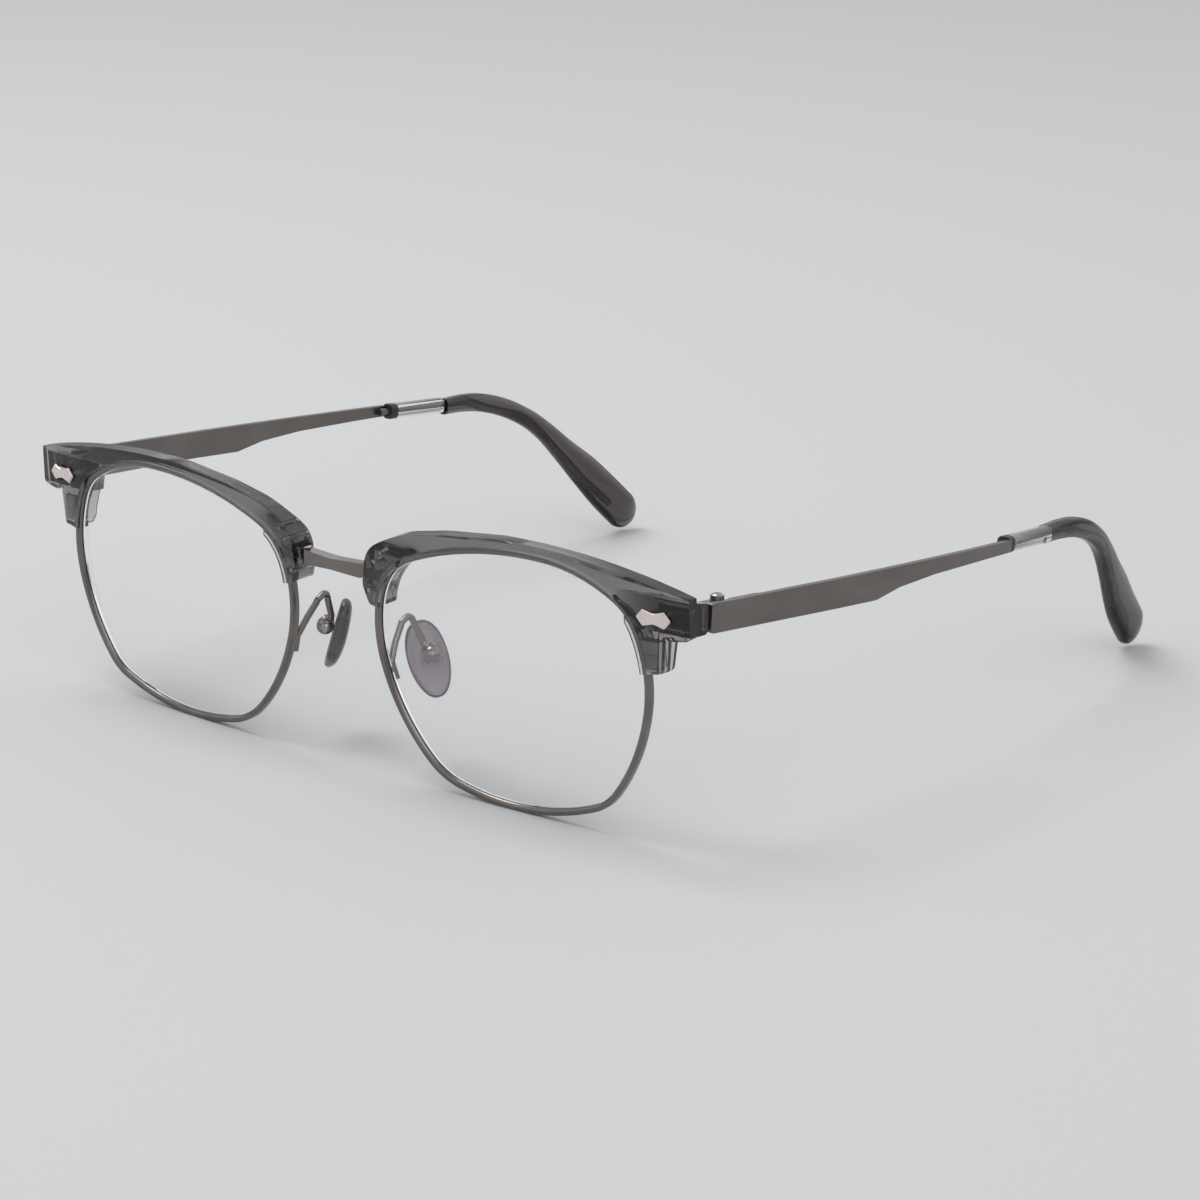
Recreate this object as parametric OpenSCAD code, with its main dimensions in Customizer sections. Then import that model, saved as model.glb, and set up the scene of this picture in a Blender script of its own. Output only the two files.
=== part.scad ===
// Browline glasses: two acetate brow pieces carried on flat wire rims, joined by a
// metal bridge, with sprung pad arms, riveted three-knuckle hinges and flat metal
// temples that end in acetate tips. Millimetres, +Z up, the front faces -Y.
// The glasses stand on the rim bottoms and the ends of the tips.

/* [Fit of the front] */
// Distance from the middle of the bridge to the middle of a lens
lens_x = 36; // [34:0.5:38]
// Height of the lens reference point above the table
lens_z = 19; // [18:0.1:20]
// Forward lean of the lens plane in degrees
lean = 3.27; // [2:0.1:5]
// Backward turn of the temple side of each lens plane in degrees
face_turn = 2.69; // [1:0.1:4]

/* [Rim] */
// Width of the rim wire seen from the front
rim_w = 1.1; // [0.9:0.1:1.4]
// Depth of the rim wire from front to back
rim_depth = 1.5; // [1.4:0.1:1.8]
// Width of the polished bevel along the inner front edge
rim_bevel = 0.4; // [0.2:0.05:0.45]
// Small chamfer on the outer edges of the rim wire
rim_edge = 0.15; // [0.05:0.05:0.25]
// Depth of the groove that holds the lens
groove_depth = 0.4; // [0.3:0.05:0.5]
// Width of the groove that holds the lens
groove_w = 0.4; // [0.3:0.05:0.5]
// Distance of the groove behind the rim front
groove_from = 0.6; // [0.5:0.05:0.8]
// Width of the saw cut where the rim opens
rim_slit = 0.12; // [0.08:0.02:0.2]

/* [Lens] */
// Thickness of the lens
lens_t = 1; // [0.8:0.1:1.3]
// Radius of the front surface of the lens
lens_curve = 1000; // [800:50:1500]
// Distance of the lens front behind the rim front, at its middle
lens_set = 0.35; // [0.3:0.05:0.4]
// Clearance of the lens edge in the rim groove
lens_clear = 0.05; // [0.02:0.01:0.08]

/* [Brow piece] */
// Distance the brow front stands ahead of the rim front
brow_proud = 0.6; // [0.5:0.05:0.8]
// Distance of the brow back behind the rim front
brow_back = 2.4; // [2.2:0.1:2.8]
// Height of the brow top above the lens reference point
brow_top = 25.35; // [25:0.05:26]
// Width of the bevel along the top front edge
brow_bevel = 0.55; // [0.3:0.05:0.7]
// Radius of the top line of the brow
brow_arc = 140; // [125:1:160]
// Cover of the brow over the rim front between the two lugs
lip = 0.3; // [0.2:0.05:0.5]
// Clearance between the brow groove and the rim
seat_clear = 0.04; // [0.02:0.01:0.08]

/* [End piece] */
// Half the width across the two end pieces
front_half = 70.5; // [69.5:0.1:71.5]
// Depth of the end piece behind the brow corner
end_depth = 5.45; // [5:0.05:5.8]
// Height of the end piece top at its back
end_top = 39.25; // [39:0.05:39.6]
// Height of the end piece underside at its back
end_low = 34.55; // [34.2:0.05:34.8]
// Distance of the inner side of the end piece from the middle
end_in = 61.8; // [61:0.1:62.5]

/* [Plaque] */
// Length of the bow-tie plaque
plaque_l = 6.2; // [5.8:0.1:6.6]
// Height of the plaque over the peaks of its two ends
plaque_h = 2.7; // [2.4:0.1:3]
// Height of the plaque at its waist
plaque_waist = 1.6; // [1.4:0.1:2]
// Thickness of the plaque
plaque_t = 0.45; // [0.3:0.05:0.6]
// Distance between the two rivet shanks
rivet_gap = 2.6; // [2.4:0.1:2.8]
// Radius of each rivet shank
rivet_r = 0.5; // [0.4:0.05:0.6]
// Clearance around each rivet shank
rivet_clear = 0.05; // [0.02:0.01:0.08]

/* [Bridge] */
// Height of the bridge bar at its middle
bridge_h = 1.9; // [1.7:0.1:2.2]
// Height of the bridge bar where it bends back
bridge_end_h = 2.4; // [2.2:0.1:2.6]
// Depth of the bridge bar from front to back
bridge_d = 2.2; // [1.9:0.1:2.5]
// Height of the middle of the bridge above the table
bridge_z = 33.9; // [33.5:0.1:34.2]
// Distance of the bridge front ahead of the brow corner
bridge_front = 3.05; // [2.9:0.05:3.2]

/* [Pad arm] */
// Diameter of the pad arm wire
arm_wire = 1; // [0.9:0.05:1.1]
// Bend radius of the pad arm
arm_bend = 1.6; // [1.2:0.1:1.8]
// Diameter of the box that holds the pad
cup_d = 2.7; // [2.5:0.05:2.75]
// Height of the box that holds the pad
cup_h = 3.2; // [3:0.1:3.4]

/* [Nose pad] */
// Height of the nose pad
pad_h = 12.9; // [12:0.1:14]
// Width of the nose pad
pad_w = 6.8; // [6.5:0.1:7.2]
// Thickness of the nose pad at its middle
pad_t = 2.5; // [2.2:0.1:2.8]
// Width of the raised border
pad_border = 0.8; // [0.6:0.1:1]
// Height of the raised border
pad_raise = 0.3; // [0.2:0.05:0.35]
// Distance from the rocking axis to the pad
pad_off = 1.3; // [1.25:0.05:1.5]
// Turn of the pad about the upright in degrees
pad_toe = -39.7; // [-42:0.1:-37]
// Splay of the pad seen from the front in degrees
pad_splay = -14.8; // [-16:0.1:-13]
// Slant of the pad in its own plane in degrees
pad_slant = 9.5; // [6:0.5:12]
// Thickness of the round boss behind the pad
boss_t = 0.7; // [0.5:0.05:0.75]
// Half the height of the drilled tongue behind the pad
tongue_up = 0.76; // [0.7:0.02:0.8]
// Radius of the pad screw shank
pad_screw_r = 0.42; // [0.38:0.02:0.46]
// Running clearance of the pad on its screw
pad_run = 0.05; // [0.03:0.01:0.08]

/* [Hinge] */
// Distance of the hinge axis from the middle of the glasses
pivot_x = 68.3; // [68.1:0.05:68.4]
// Distance of the hinge axis behind the brow corner
pivot_y = 10; // [9.8:0.1:10.4]
// Height of the middle knuckle above the table
pivot_z = 36.9; // [36.7:0.05:37.1]
// Outer radius of the knuckles
knuckle_r = 1.1; // [1:0.05:1.15]
// Height over all three knuckles
knuckle_h = 4.6; // [4.3:0.1:4.8]
// Height of the middle knuckle
mid_h = 1.6; // [1.4:0.1:1.9]
// Gap between two knuckles
knuckle_gap = 0.06; // [0.04:0.01:0.1]
// Radius of the hinge screw shank
screw_r = 0.6; // [0.5:0.02:0.66]
// Running clearance of the turning knuckle on the screw
run_clear = 0.05; // [0.03:0.01:0.08]
// Clearance of the screw in the fixed knuckles
hold_clear = 0.02; // [0.01:0.01:0.03]
// Radius of the domed screw head
head_r = 1; // [0.85:0.05:1.05]
// Height of the domed screw head
head_h = 0.42; // [0.35:0.01:0.5]
// Width of the screwdriver slots
slot_w = 0.3; // [0.2:0.02:0.36]
// Thickness of the hinge plate let into the end piece
plate_t = 0.9; // [0.8:0.05:1]
// Width of the hinge plate
plate_w = 6.6; // [6.4:0.1:6.8]
// Height of the hinge plate
plate_h = 3.6; // [3.4:0.1:3.8]
// Rise of the middle of the hinge plate above the middle knuckle
plate_up = 0.15; // [0.1:0.05:0.2]
// Thickness of the hinge leaf on the temple
leaf_t = 0.7; // [0.6:0.05:0.75]
// Length of the hinge leaf on the temple
leaf_l = 9.5; // [8:0.5:12]
// Height of the hinge leaf on the temple
leaf_h = 3.6; // [3.2:0.1:3.8]

/* [Temple] */
// Downward slope of the temple in degrees
pitch = 4.2; // [3.5:0.1:5]
// Outward turn of the front of the temple in degrees
toe_out = 2.1; // [1.5:0.1:2.5]
// Thickness of the temple blade
blade_t = 1; // [0.8:0.05:1.1]
// Distance of the blade inner side from the middle, at its front end
blade_x = 69.6; // [69.5:0.05:69.8]
// Gap between end piece and temple
end_gap = 0.6; // [0.4:0.05:0.8]
// Height of the blade top above the hinge middle
blade_up = 1.9; // [1.85:0.05:2.1]
// Depth of the blade underside below the hinge middle
blade_down = 2.75; // [2.5:0.05:2.9]
// Height of the narrow tail of the blade
tail_h = 1.95; // [1.8:0.05:2.1]
// Distance from the hinge to the dark ring
ring_at = 74.2; // [70:0.5:80]
// Radius of the core wire inside the tip
core_r = 0.65; // [0.55:0.05:0.7]
// Clearance of the core wire in the tip
core_clear = 0.05; // [0.03:0.01:0.08]
// Bend radius of the core wire behind the ear
core_bend = 16; // [12:1:18]

/* [Ring, sleeve and tip] */
// Length of the dark ring
ring_l = 1.6; // [1.2:0.1:2]
// Height of the dark ring
ring_h = 2.8; // [2.7:0.05:3]
// Length of the clear sleeve
sleeve_l = 12; // [10:0.5:14]
// Height of the clear sleeve
sleeve_h = 2.75; // [2.6:0.05:2.9]
// Thickness of the clear sleeve from side to side
sleeve_t = 2.5; // [2.3:0.05:2.7]
// Thickness of the tip at its front end
tip_t = 2.7; // [2.5:0.1:2.9]
// Thickness of the tip at its rounded end
tip_end_t = 3.5; // [3.2:0.1:3.8]
// Height of the tip where it begins
tip_h = 3.05; // [2.9:0.05:3.3]
// Width of the rounded end of the tip
tip_end_h = 7.4; // [6.8:0.1:7.6]

/* [Closing block] */
// Height of the rim closing block
block_h = 4.2; // [3.8:0.1:4.4]
// Width of the rim closing block
block_w = 3.6; // [3.4:0.1:3.8]
// Depth of the rim closing block
block_d = 2.6; // [2.4:0.1:2.8]
// Radius of the closing screw shank
lock_r = 0.5; // [0.4:0.02:0.54]

/* [Hidden] */
$fn = 48;
mid_y = 69.874;
lens_y = -0.81;
blend = 0.06;
rim_head = [-10, 24, 60, 88, 112, 144, 168, 196, 226, 256, 292, 322];
rim_rad = [23.33, 9.5, 30.65, 67.21, 9.5, 12.18, 21.92, 33.76, 13.34, 44.86, 9.5, 33.36];
rim_first = [4.117, 5.998];
block_at = [27.5, 12.1];
lock_at = block_at[0] + 0.7;
pad_lean = -6.4;
cup_at = [11.95, 8.2, 18.9];
half_knuckle = knuckle_h / 2;
blade_off = blade_x - pivot_x;
plate_rise = (pivot_y - end_depth) * sin(pitch);
web_high = plate_h / 2 + plate_up - plate_rise - 0.1;
web_low = plate_h / 2 - plate_up + plate_rise - 0.1;
straight_l = 17.9;
arm_low = mid_h / 2 + knuckle_gap;
blade_front = end_depth + end_gap;

// Corner of an outline turned into an arc of radius b[2]
function unit(v) = v / norm(v);
function xy(p) = [p[0], p[1]];
function corner(a, b, c, n) =
  b[2] == 0 ? [xy(b)] :
  let (
    p = unit(xy(a) - xy(b)),
    q = unit(xy(c) - xy(b)),
    half = acos(p * q) / 2,
    o = xy(b) + unit(p + q) * b[2] / sin(half),
    s = xy(b) + p * b[2] / tan(half) - o,
    e = xy(b) + q * b[2] / tan(half) - o,
    turn = 180 - 2 * half
  )
  [for (k = [0:n]) o + (sin((1 - k / n) * turn) * s + sin(k / n * turn) * e) / sin(turn)];
function rounded(p, n = 6) =
  [for (i = [0:len(p) - 1])
    each corner(p[(i + len(p) - 1) % len(p)], p[i], p[(i + 1) % len(p)], n)];

// Rim outline: a closed chain of arcs that share their tangents
function dir(a) = [cos(a), sin(a)];
function rim_centre(i) =
  i == 0 ? rim_first :
  rim_centre(i - 1) + (rim_rad[i - 1] - rim_rad[i]) * dir(rim_head[i]);
function rim_sweep(i) = (i == 11 ? rim_head[0] + 360 : rim_head[i + 1]) - rim_head[i];
function rim_outline(inset, pitch_len = 1.7) =
  [for (i = [0:11])
    let (
      c = rim_centre(i),
      r = rim_rad[i],
      n = ceil(r * rim_sweep(i) * PI / 180 / pitch_len)
    )
    each [for (k = [0:n - 1]) c + (r - inset) * dir(rim_head[i] + rim_sweep(i) * k / n)]];

// Smooth value between listed stations [where, value]
function smooth_at(t, s, i = 0) =
  t <= s[0][0] ? s[0][1] :
  i >= len(s) - 1 ? s[len(s) - 1][1] :
  t > s[i + 1][0] ? smooth_at(t, s, i + 1) :
  let (
    a = s[i],
    b = s[i + 1],
    before = s[max(i - 1, 0)],
    after = s[min(i + 2, len(s) - 1)],
    w = b[0] - a[0],
    k = (t - a[0]) / w,
    m0 = (b[1] - before[1]) / (b[0] - before[0]) * w,
    m1 = (after[1] - a[1]) / (after[0] - a[0]) * w
  )
  (2 * k * k * k - 3 * k * k + 1) * a[1] + (k * k * k - 2 * k * k + k) * m0
  + (3 * k * k - 2 * k * k * k) * b[1] + (k * k * k - k * k) * m1;

// Places: the origin is the middle of the footprint, and each side has its own lens plane
module right_side() {
  translate([0, -mid_y, 0]) children();
}
module left_side() {
  translate([0, -mid_y, 0]) mirror([1, 0, 0]) children();
}
module lens_plane() {
  translate([lens_x, lens_y, lens_z]) rotate([lean, 0, 0]) rotate([0, 0, face_turn]) children();
}
// A flat outline drawn in the lens plane, filled from depth a to depth b
module slab(a, b) {
  translate([0, b, 0]) rotate([90, 0, 0]) linear_extrude(height = b - a) children();
}
module temple_frame() {
  translate([pivot_x, pivot_y, pivot_z]) rotate([-pitch, 0, 0]) children();
}
module pad_frame() {
  translate(cup_at) rotate([pad_lean, pad_splay, 0]) rotate([0, 0, pad_toe]) children();
}

// Straight wire from p to q
module rod(p, q, r) {
  z = unit(q - p);
  x = unit(cross(abs(z[2]) < 0.9 ? [0, 0, 1] : [1, 0, 0], z));
  y = cross(z, x);
  multmatrix([
    [x[0], y[0], z[0], p[0]],
    [x[1], y[1], z[1], p[1]],
    [x[2], y[2], z[2], p[2]],
    [0, 0, 0, 1]
  ])
    cylinder(r = r, h = norm(q - p));
}
// One bend of the wire at b, between neighbours a and c
module bend(a, b, c, r, bend_r) {
  p = unit(a - b);
  q = unit(c - b);
  half = acos(p * q) / 2;
  o = b + unit(p + q) * bend_r / sin(half);
  x = unit(b + p * bend_r / tan(half) - o);
  y = -p;
  z = cross(x, y);
  multmatrix([
    [x[0], y[0], z[0], o[0]],
    [x[1], y[1], z[1], o[1]],
    [x[2], y[2], z[2], o[2]],
    [0, 0, 0, 1]
  ])
    rotate_extrude(angle = 180 - 2 * half) translate([bend_r, 0]) circle(r = r);
}
function setback(a, b, c, bend_r) =
  bend_r / tan(acos(unit(a - b) * unit(c - b)) / 2);
// Round wire through points p, with every inner corner bent to the radius in bends.
// A ball blends each straight into its bend.
module bent_wire(p, bends, r) {
  last = len(p) - 1;
  for (i = [0:last - 1]) {
    d = unit(p[i + 1] - p[i]);
    s = i == 0 ? 0 : setback(p[i - 1], p[i], p[i + 1], bends[i - 1]);
    e = i == last - 1 ? 0 : setback(p[i], p[i + 1], p[i + 2], bends[i]);
    rod(p[i] + d * (s + (i == 0 ? 0 : blend)), p[i + 1] - d * (e + (i == last - 1 ? 0 : blend)), r);
    if (i > 0) translate(p[i] + d * s) sphere(r = r + blend / 4);
    if (i < last - 1) translate(p[i + 1] - d * e) sphere(r = r + blend / 4);
  }
  for (i = [1:last - 1]) bend(p[i - 1], p[i], p[i + 1], r, bends[i - 1]);
}
module slotted_head(r, h, slot) {
  difference() {
    intersection() {
      cylinder(r = r, h = h);
      translate([0, 0, h - 1.6 * r]) sphere(r = 1.6 * r);
    }
    translate([-r - 1, -slot / 2, h * 0.5]) cube([2 * r + 2, slot, h]);
  }
}

// Rim: the wire section [inset, depth] swept round the outline, with a saw cut at the block
rim_section = [
  [0, rim_edge],
  [rim_edge, 0],
  [rim_w - rim_bevel, 0],
  [rim_w, rim_bevel],
  [rim_w, groove_from],
  [rim_w - groove_depth, groove_from],
  [rim_w - groove_depth, groove_from + groove_w],
  [rim_w, groove_from + groove_w],
  [rim_w, rim_depth],
  [rim_edge, rim_depth],
  [0, rim_depth - rim_edge]
];
module swept_ring(section) {
  rings = [for (p = section) [for (q = rim_outline(p[0])) [q[0], p[1], q[1]]]];
  m = len(section);
  n = len(rings[0]);
  polyhedron(
    [for (k = [0:n - 1], j = [0:m - 1]) rings[j][k]],
    [for (k = [0:n - 1], j = [0:m - 1])
      let (a = k * m + j, b = k * m + (j + 1) % m, c = (k + 1) % n * m + (j + 1) % m, d = (k + 1) % n * m + j)
      each [[a, b, c], [a, c, d]]],
    convexity = 10
  );
}
module rim() {
  lens_plane() difference() {
    swept_ring(rim_section);
    translate([block_at[0] - 3, -1, block_at[1] - rim_slit / 2]) cube([3, 3, rim_slit]);
  }
}

// Lens: a shallow meniscus with a thin tongue that sits in the rim groove
module lens() {
  lens_plane() {
    intersection() {
      slab(0, 4) polygon(rim_outline(rim_w + lens_clear));
      difference() {
        translate([0, lens_set + lens_curve, 0]) sphere(r = lens_curve, $fn = 200);
        translate([0, lens_set + lens_t + lens_curve, 0]) sphere(r = lens_curve, $fn = 200);
      }
    }
    slab(groove_from + lens_clear, groove_from + groove_w - lens_clear) difference() {
      polygon(rim_outline(rim_w - groove_depth + lens_clear));
      polygon(rim_outline(rim_w + 0.6));
    }
  }
}

// Closing block: two halves on the rim, either side of the saw cut, drawn together by a screw
module closing_block() {
  lens_plane() difference() {
    translate([block_at[0] - block_w / 2, 0.15, block_at[1] - block_h / 2])
      cube([block_w, block_d, block_h]);
    slab(-1, 4) polygon(rim_outline(0));
    translate([0, -1, block_at[1] - rim_slit / 2]) cube([40, 6, rim_slit]);
    translate([lock_at, 0.15 + block_d / 2, 0]) cylinder(r = lock_r + hold_clear, h = 30);
    translate([lock_at, 0.15 + block_d / 2, block_at[1] - block_h / 2 - 0.01])
      cylinder(r = lock_r + 0.35, h = 0.5);
  }
}
module lock_screw() {
  lens_plane() translate([lock_at, 0.15 + block_d / 2, 0]) {
    translate([0, 0, block_at[1] - block_h / 2 + 0.45]) cylinder(r = lock_r, h = block_h - 0.5);
    translate([0, 0, block_at[1] - block_h / 2 + 0.45]) mirror([0, 0, 1])
      slotted_head(lock_r + 0.3, 0.4, slot_w * 0.8);
  }
}

// Brow piece outlines
function brow_front_outline() = rounded([
  [-27.35, 10.2, 1.1],
  [-28.6, 13.3, 2.5],
  [-27.65, 19.35, 5],
  [-21.5, 22.49, 20],
  [-12.5, 24.15, 40],
  [2, 25.6, 0],
  [2, 26.5, 0],
  [34.9, 26.5, 0],
  [35.2, 15.4, 0.9],
  [31.5, 14.9, 0.5],
  [30.6, 9.5, 0.9],
  [25.2, 8.7, 0.3],
  [16, 11, 0],
  [-16, 11, 0],
  [-25.2, 9.8, 0.4]
]);
// Steps down the outer side of the temple lug: [from depth, to depth, edge below, edge above, top]
lug_steps = [[-3, 0.1, 29.25, 29.7, 16.3], [0, 0.95, 29.7, 30.25, 15.35], [0.9, 1.75, 30.15, 30.8, 15.3]];
module lug_flutes() {
  for (s = lug_steps)
    slab(s[0], s[1]) polygon(rounded([
      [s[2], 8, 0], [s[3], s[4], 0.2], [s[3] + 0.75, s[4], 0.2], [s[3] + 1, 15, 0], [40, 15, 0], [40, 8, 0]
    ]));
}
// The top line with its bevel, turned about the centre of the top arc
module brow_band() {
  rotate([90, 0, 0]) translate([3.5, brow_top - brow_arc]) rotate([0, 0, 75])
    rotate_extrude(angle = 35, $fn = 240)
      polygon([
        [brow_arc - 22, brow_proud],
        [brow_arc - brow_bevel, brow_proud],
        [brow_arc, brow_proud - brow_bevel],
        [brow_arc, -brow_back - 4],
        [brow_arc - 22, -brow_back - 4]
      ]);
}
// Plan of the brow: the front turns back towards the corner and the back is straight
module brow_plan() {
  translate([0, 0, 5]) linear_extrude(height = 25) polygon(rounded([
    [-32, -brow_proud, 0],
    [26.5, -brow_proud, 110],
    [36.5, 0.6, 0],
    [36.5, brow_back, 0],
    [-27.4, brow_back, 0.8],
    [-32, brow_back - 2, 0]
  ], 10));
}
module end_piece() {
  intersection() {
    translate([0, 0, 30]) linear_extrude(height = 14) polygon(rounded([
      [56, 0.6, 0],
      [57.5, 2.3, 3],
      [end_in, end_depth, 1.6],
      [front_half, end_depth, 0.35],
      [front_half, 0.05, 0.3],
      [60, -0.35, 0]
    ]));
    translate([50, 0, 0]) rotate([90, 0, 90]) linear_extrude(height = 30) polygon(rounded([
      [-1, 40.6, 0],
      [0.2, 40.5, 0.5],
      [end_depth, end_top, 0.3],
      [end_depth, end_low, 0.9],
      [0.2, 34.75, 0.4],
      [-1, 34.8, 0]
    ]));
  }
}
module brow_pin_places() {
  for (p = [[-24.9, 19], [-26.2, 17.3], [-27.35, 12.4]])
    translate([p[0], 0, p[1]]) rotate([90, 0, 0]) children();
}
module brow() {
  difference() {
    union() {
      lens_plane() intersection() {
        difference() {
          slab(-2, 8) polygon(brow_front_outline());
          lug_flutes();
        }
        brow_plan();
        brow_band();
      }
      intersection() {
        end_piece();
        translate([front_half - 20, -5, 20]) cube([20, 20, 30]);
      }
    }
    lens_plane() {
      slab(-3, 9) polygon(rim_outline(rim_w));
      slab(-seat_clear, rim_depth + seat_clear) polygon(rim_outline(-seat_clear));
      slab(-3, 0) intersection() {
        polygon(rim_outline(lip));
        polygon(rounded([[-21.5, 17, 2], [-21.5, 30, 0], [23.5, 30, 0], [23.5, 15.5, 2], [0, 0, 0]]));
      }
      translate([block_at[0] - 3.5, 0.05, block_at[1] - block_h / 2 - 0.1])
        cube([3.5 + block_w / 2 + 0.1, 9, block_h + 0.2]);
      brow_pin_places() translate([0, 0, -brow_back - 1]) cylinder(r = 0.38, h = brow_back + 1.3);
    }
    bridge_bar(seat_clear);
    plaque_place() rivet_shanks(rivet_r + rivet_clear);
    translate([pivot_x + knuckle_r - plate_w - seat_clear, end_depth - plate_t - seat_clear,
      pivot_z + plate_up - plate_h / 2 - seat_clear])
      cube([plate_w + 2 * seat_clear, 3, plate_h + 2 * seat_clear]);
  }
}
module brow_pins() {
  lens_plane() brow_pin_places() translate([0, 0, -brow_back]) {
    cylinder(r = 0.35, h = brow_back + 0.2);
  }
}

// Plaque: a flat bow tie whose two shanks pass through the end piece to the hinge plate
module plaque_place() {
  lens_plane() translate([29.05, -brow_proud + 0.26, 18.2]) rotate([0, 0, 4.6]) rotate([90, 0, 0])
    children();
}
module rivet_shanks(r) {
  for (side = [-1, 1]) translate([side * rivet_gap / 2, 0, -5.4]) cylinder(r = r, h = 5.4);
}
function bow_tie(inset) =
  let (w = plaque_l / 2 - inset * 1.3, h = plaque_h / 2 - inset, n = plaque_waist / 2 - inset, c = plaque_l * 0.31)
  rounded([
    [-w, 0, 0.2], [-c, -h, 0.2], [0, -n, 2], [c, -h, 0.2],
    [w, 0, 0.2], [c, h, 0.2], [0, n, 2], [-c, h, 0.2]
  ], 4);
module plaque() {
  plaque_place() {
    linear_extrude(height = plaque_t * 0.6) polygon(bow_tie(0));
    linear_extrude(height = plaque_t) polygon(bow_tie(0.15));
    rivet_shanks(rivet_r);
  }
}

// Bridge: a bar, slightly arched forwards, whose ends bend back into the brows to the rims
module bridge_bar(grow) {
  intersection() {
    translate([0, 0, 30]) linear_extrude(height = 8) polygon(rounded([
      [-7.1, -bridge_front + bridge_d + grow, 0],
      [-7.1, -bridge_front + bridge_d + grow - 0.12, 0],
      [-11, -bridge_front + bridge_d + grow - 0.12, 0],
      [-11, -1.75 - grow, 0],
      [-7.6 + grow, -1.75 - grow, 0.8],
      [-6.3, -bridge_front + 0.3 - grow, 0.7],
      [0, -bridge_front - grow, 30],
      [6.3, -bridge_front + 0.3 - grow, 0.7],
      [7.6 - grow, -1.75 - grow, 0.8],
      [11, -1.75 - grow, 0],
      [11, -bridge_front + bridge_d + grow - 0.12, 0],
      [7.1, -bridge_front + bridge_d + grow - 0.12, 0],
      [7.1, -bridge_front + bridge_d + grow, 0]
    ]));
    translate([0, 5, bridge_z]) rotate([90, 0, 0]) linear_extrude(height = 12) polygon(rounded([
      [-11, -0.9 - grow, 0],
      [-7.5, -0.9 - grow, 0.6],
      [-6, -bridge_end_h / 2 - grow, 1.2],
      [0, -bridge_h / 2 + 0.05 - grow, 14],
      [6, -bridge_end_h / 2 - grow, 1.2],
      [7.5, -0.9 - grow, 0.6],
      [11, -0.9 - grow, 0],
      [11, 0.9 + grow, 0],
      [7.5, 0.9 + grow, 0.6],
      [6, bridge_end_h / 2 + grow, 1.2],
      [0, bridge_h / 2 - 0.05 + grow, 14],
      [-6, bridge_end_h / 2 + grow, 1.2],
      [-7.5, 0.9 + grow, 0.6],
      [-11, 0.9 + grow, 0]
    ]));
  }
}
module bridge() {
  difference() {
    bridge_bar(0);
    lens_plane() slab(-3, 4) polygon(rim_outline(0));
    mirror([1, 0, 0]) lens_plane() slab(-3, 4) polygon(rim_outline(0));
  }
}

// Pad arm: one wire, along the rim, back in a loop and down to the box that holds the pad
arm_path = [
  [11.63, 0.05, 16.26],
  [10.4, -0.15, 19.9],
  [9.95, 2.35, 22.1],
  [9.6, 3.05, 26.25],
  [9.65, 6.95, 26.2],
  [11.6, 8.3, 20]
];
module cup_shape() {
  intersection() {
    translate([0, 0, -cup_h / 2]) cylinder(d = cup_d, h = cup_h);
    sphere(r = 1.75);
  }
}
module pad_arm() {
  difference() {
    union() {
      bent_wire(arm_path, [1.2, 1.6, arm_bend, arm_bend], arm_wire / 2);
      pad_frame() cup_shape();
      pad_frame() translate([0, 0, cup_h / 2 - 0.45]) cylinder(d = cup_d - 0.2, h = 0.3);
    }
    pad_frame() {
      translate([-3, -0.55, -cup_h]) cube([3.95, 1.1, cup_h + tongue_up + 0.25]);
      rotate([90, 0, 0]) translate([0, 0, -3]) cylinder(r = pad_screw_r + hold_clear, h = 6);
    }
    lens_plane() slab(-3, rim_depth) polygon(rim_outline(-0.01));
  }
}
module pad_screw() {
  pad_frame() rotate([90, 0, 0]) {
    translate([0, 0, -cup_d / 2 + 0.15]) cylinder(r = pad_screw_r, h = cup_d - 0.1);
    translate([0, 0, cup_d / 2 + 0.03]) slotted_head(0.8, 0.35, slot_w * 0.8);
  }
}
function pad_outline(inset) = rounded([
  [-pad_w / 2 + inset, pad_h / 2 - inset, 3.3 - inset],
  [pad_w / 2 - inset, pad_h / 2 - inset, 3.3 - inset],
  [pad_w / 2 - inset, -0.06 * pad_h, 11],
  [pad_w * 0.33 - inset * 0.8, -pad_h / 2 + inset, 2.15 - inset],
  [-pad_w * 0.33 + inset * 0.8, -pad_h / 2 + inset, 2.15 - inset],
  [-pad_w / 2 + inset, -0.06 * pad_h, 11]
]);
// Nose pad: domed towards the nose, with a raised border and a drilled tongue behind
module nose_pad() {
  dome = 26;
  pad_frame() difference() {
    union() {
      translate([0, -0.35, -0.7]) difference() {
        intersection() {
          translate([-pad_off - pad_t - 1, 0, 0]) rotate([90, 0, 90]) linear_extrude(height = pad_t + 1)
            rotate([0, 0, pad_slant]) polygon(pad_outline(0));
          translate([-pad_off - pad_t + dome, 0, 0]) sphere(r = dome, $fn = 240);
        }
        translate([-pad_off - pad_raise, 0, 0]) rotate([90, 0, 90]) linear_extrude(height = 3)
          rotate([0, 0, pad_slant]) polygon(pad_outline(pad_border));
      }
      rotate([90, 0, 0]) translate([0, 0, -0.45]) cylinder(r = tongue_up, h = 0.9);
      translate([-pad_off - 1, -0.45, -tongue_up]) cube([pad_off + 1, 0.9, 2 * tongue_up]);
      translate([-pad_off - 1, 0, 0]) rotate([0, 90, 0]) cylinder(r = 2, h = boss_t);
    }
    rotate([90, 0, 0]) translate([0, 0, -3]) cylinder(r = pad_screw_r + pad_run, h = 6);
  }
}

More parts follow.
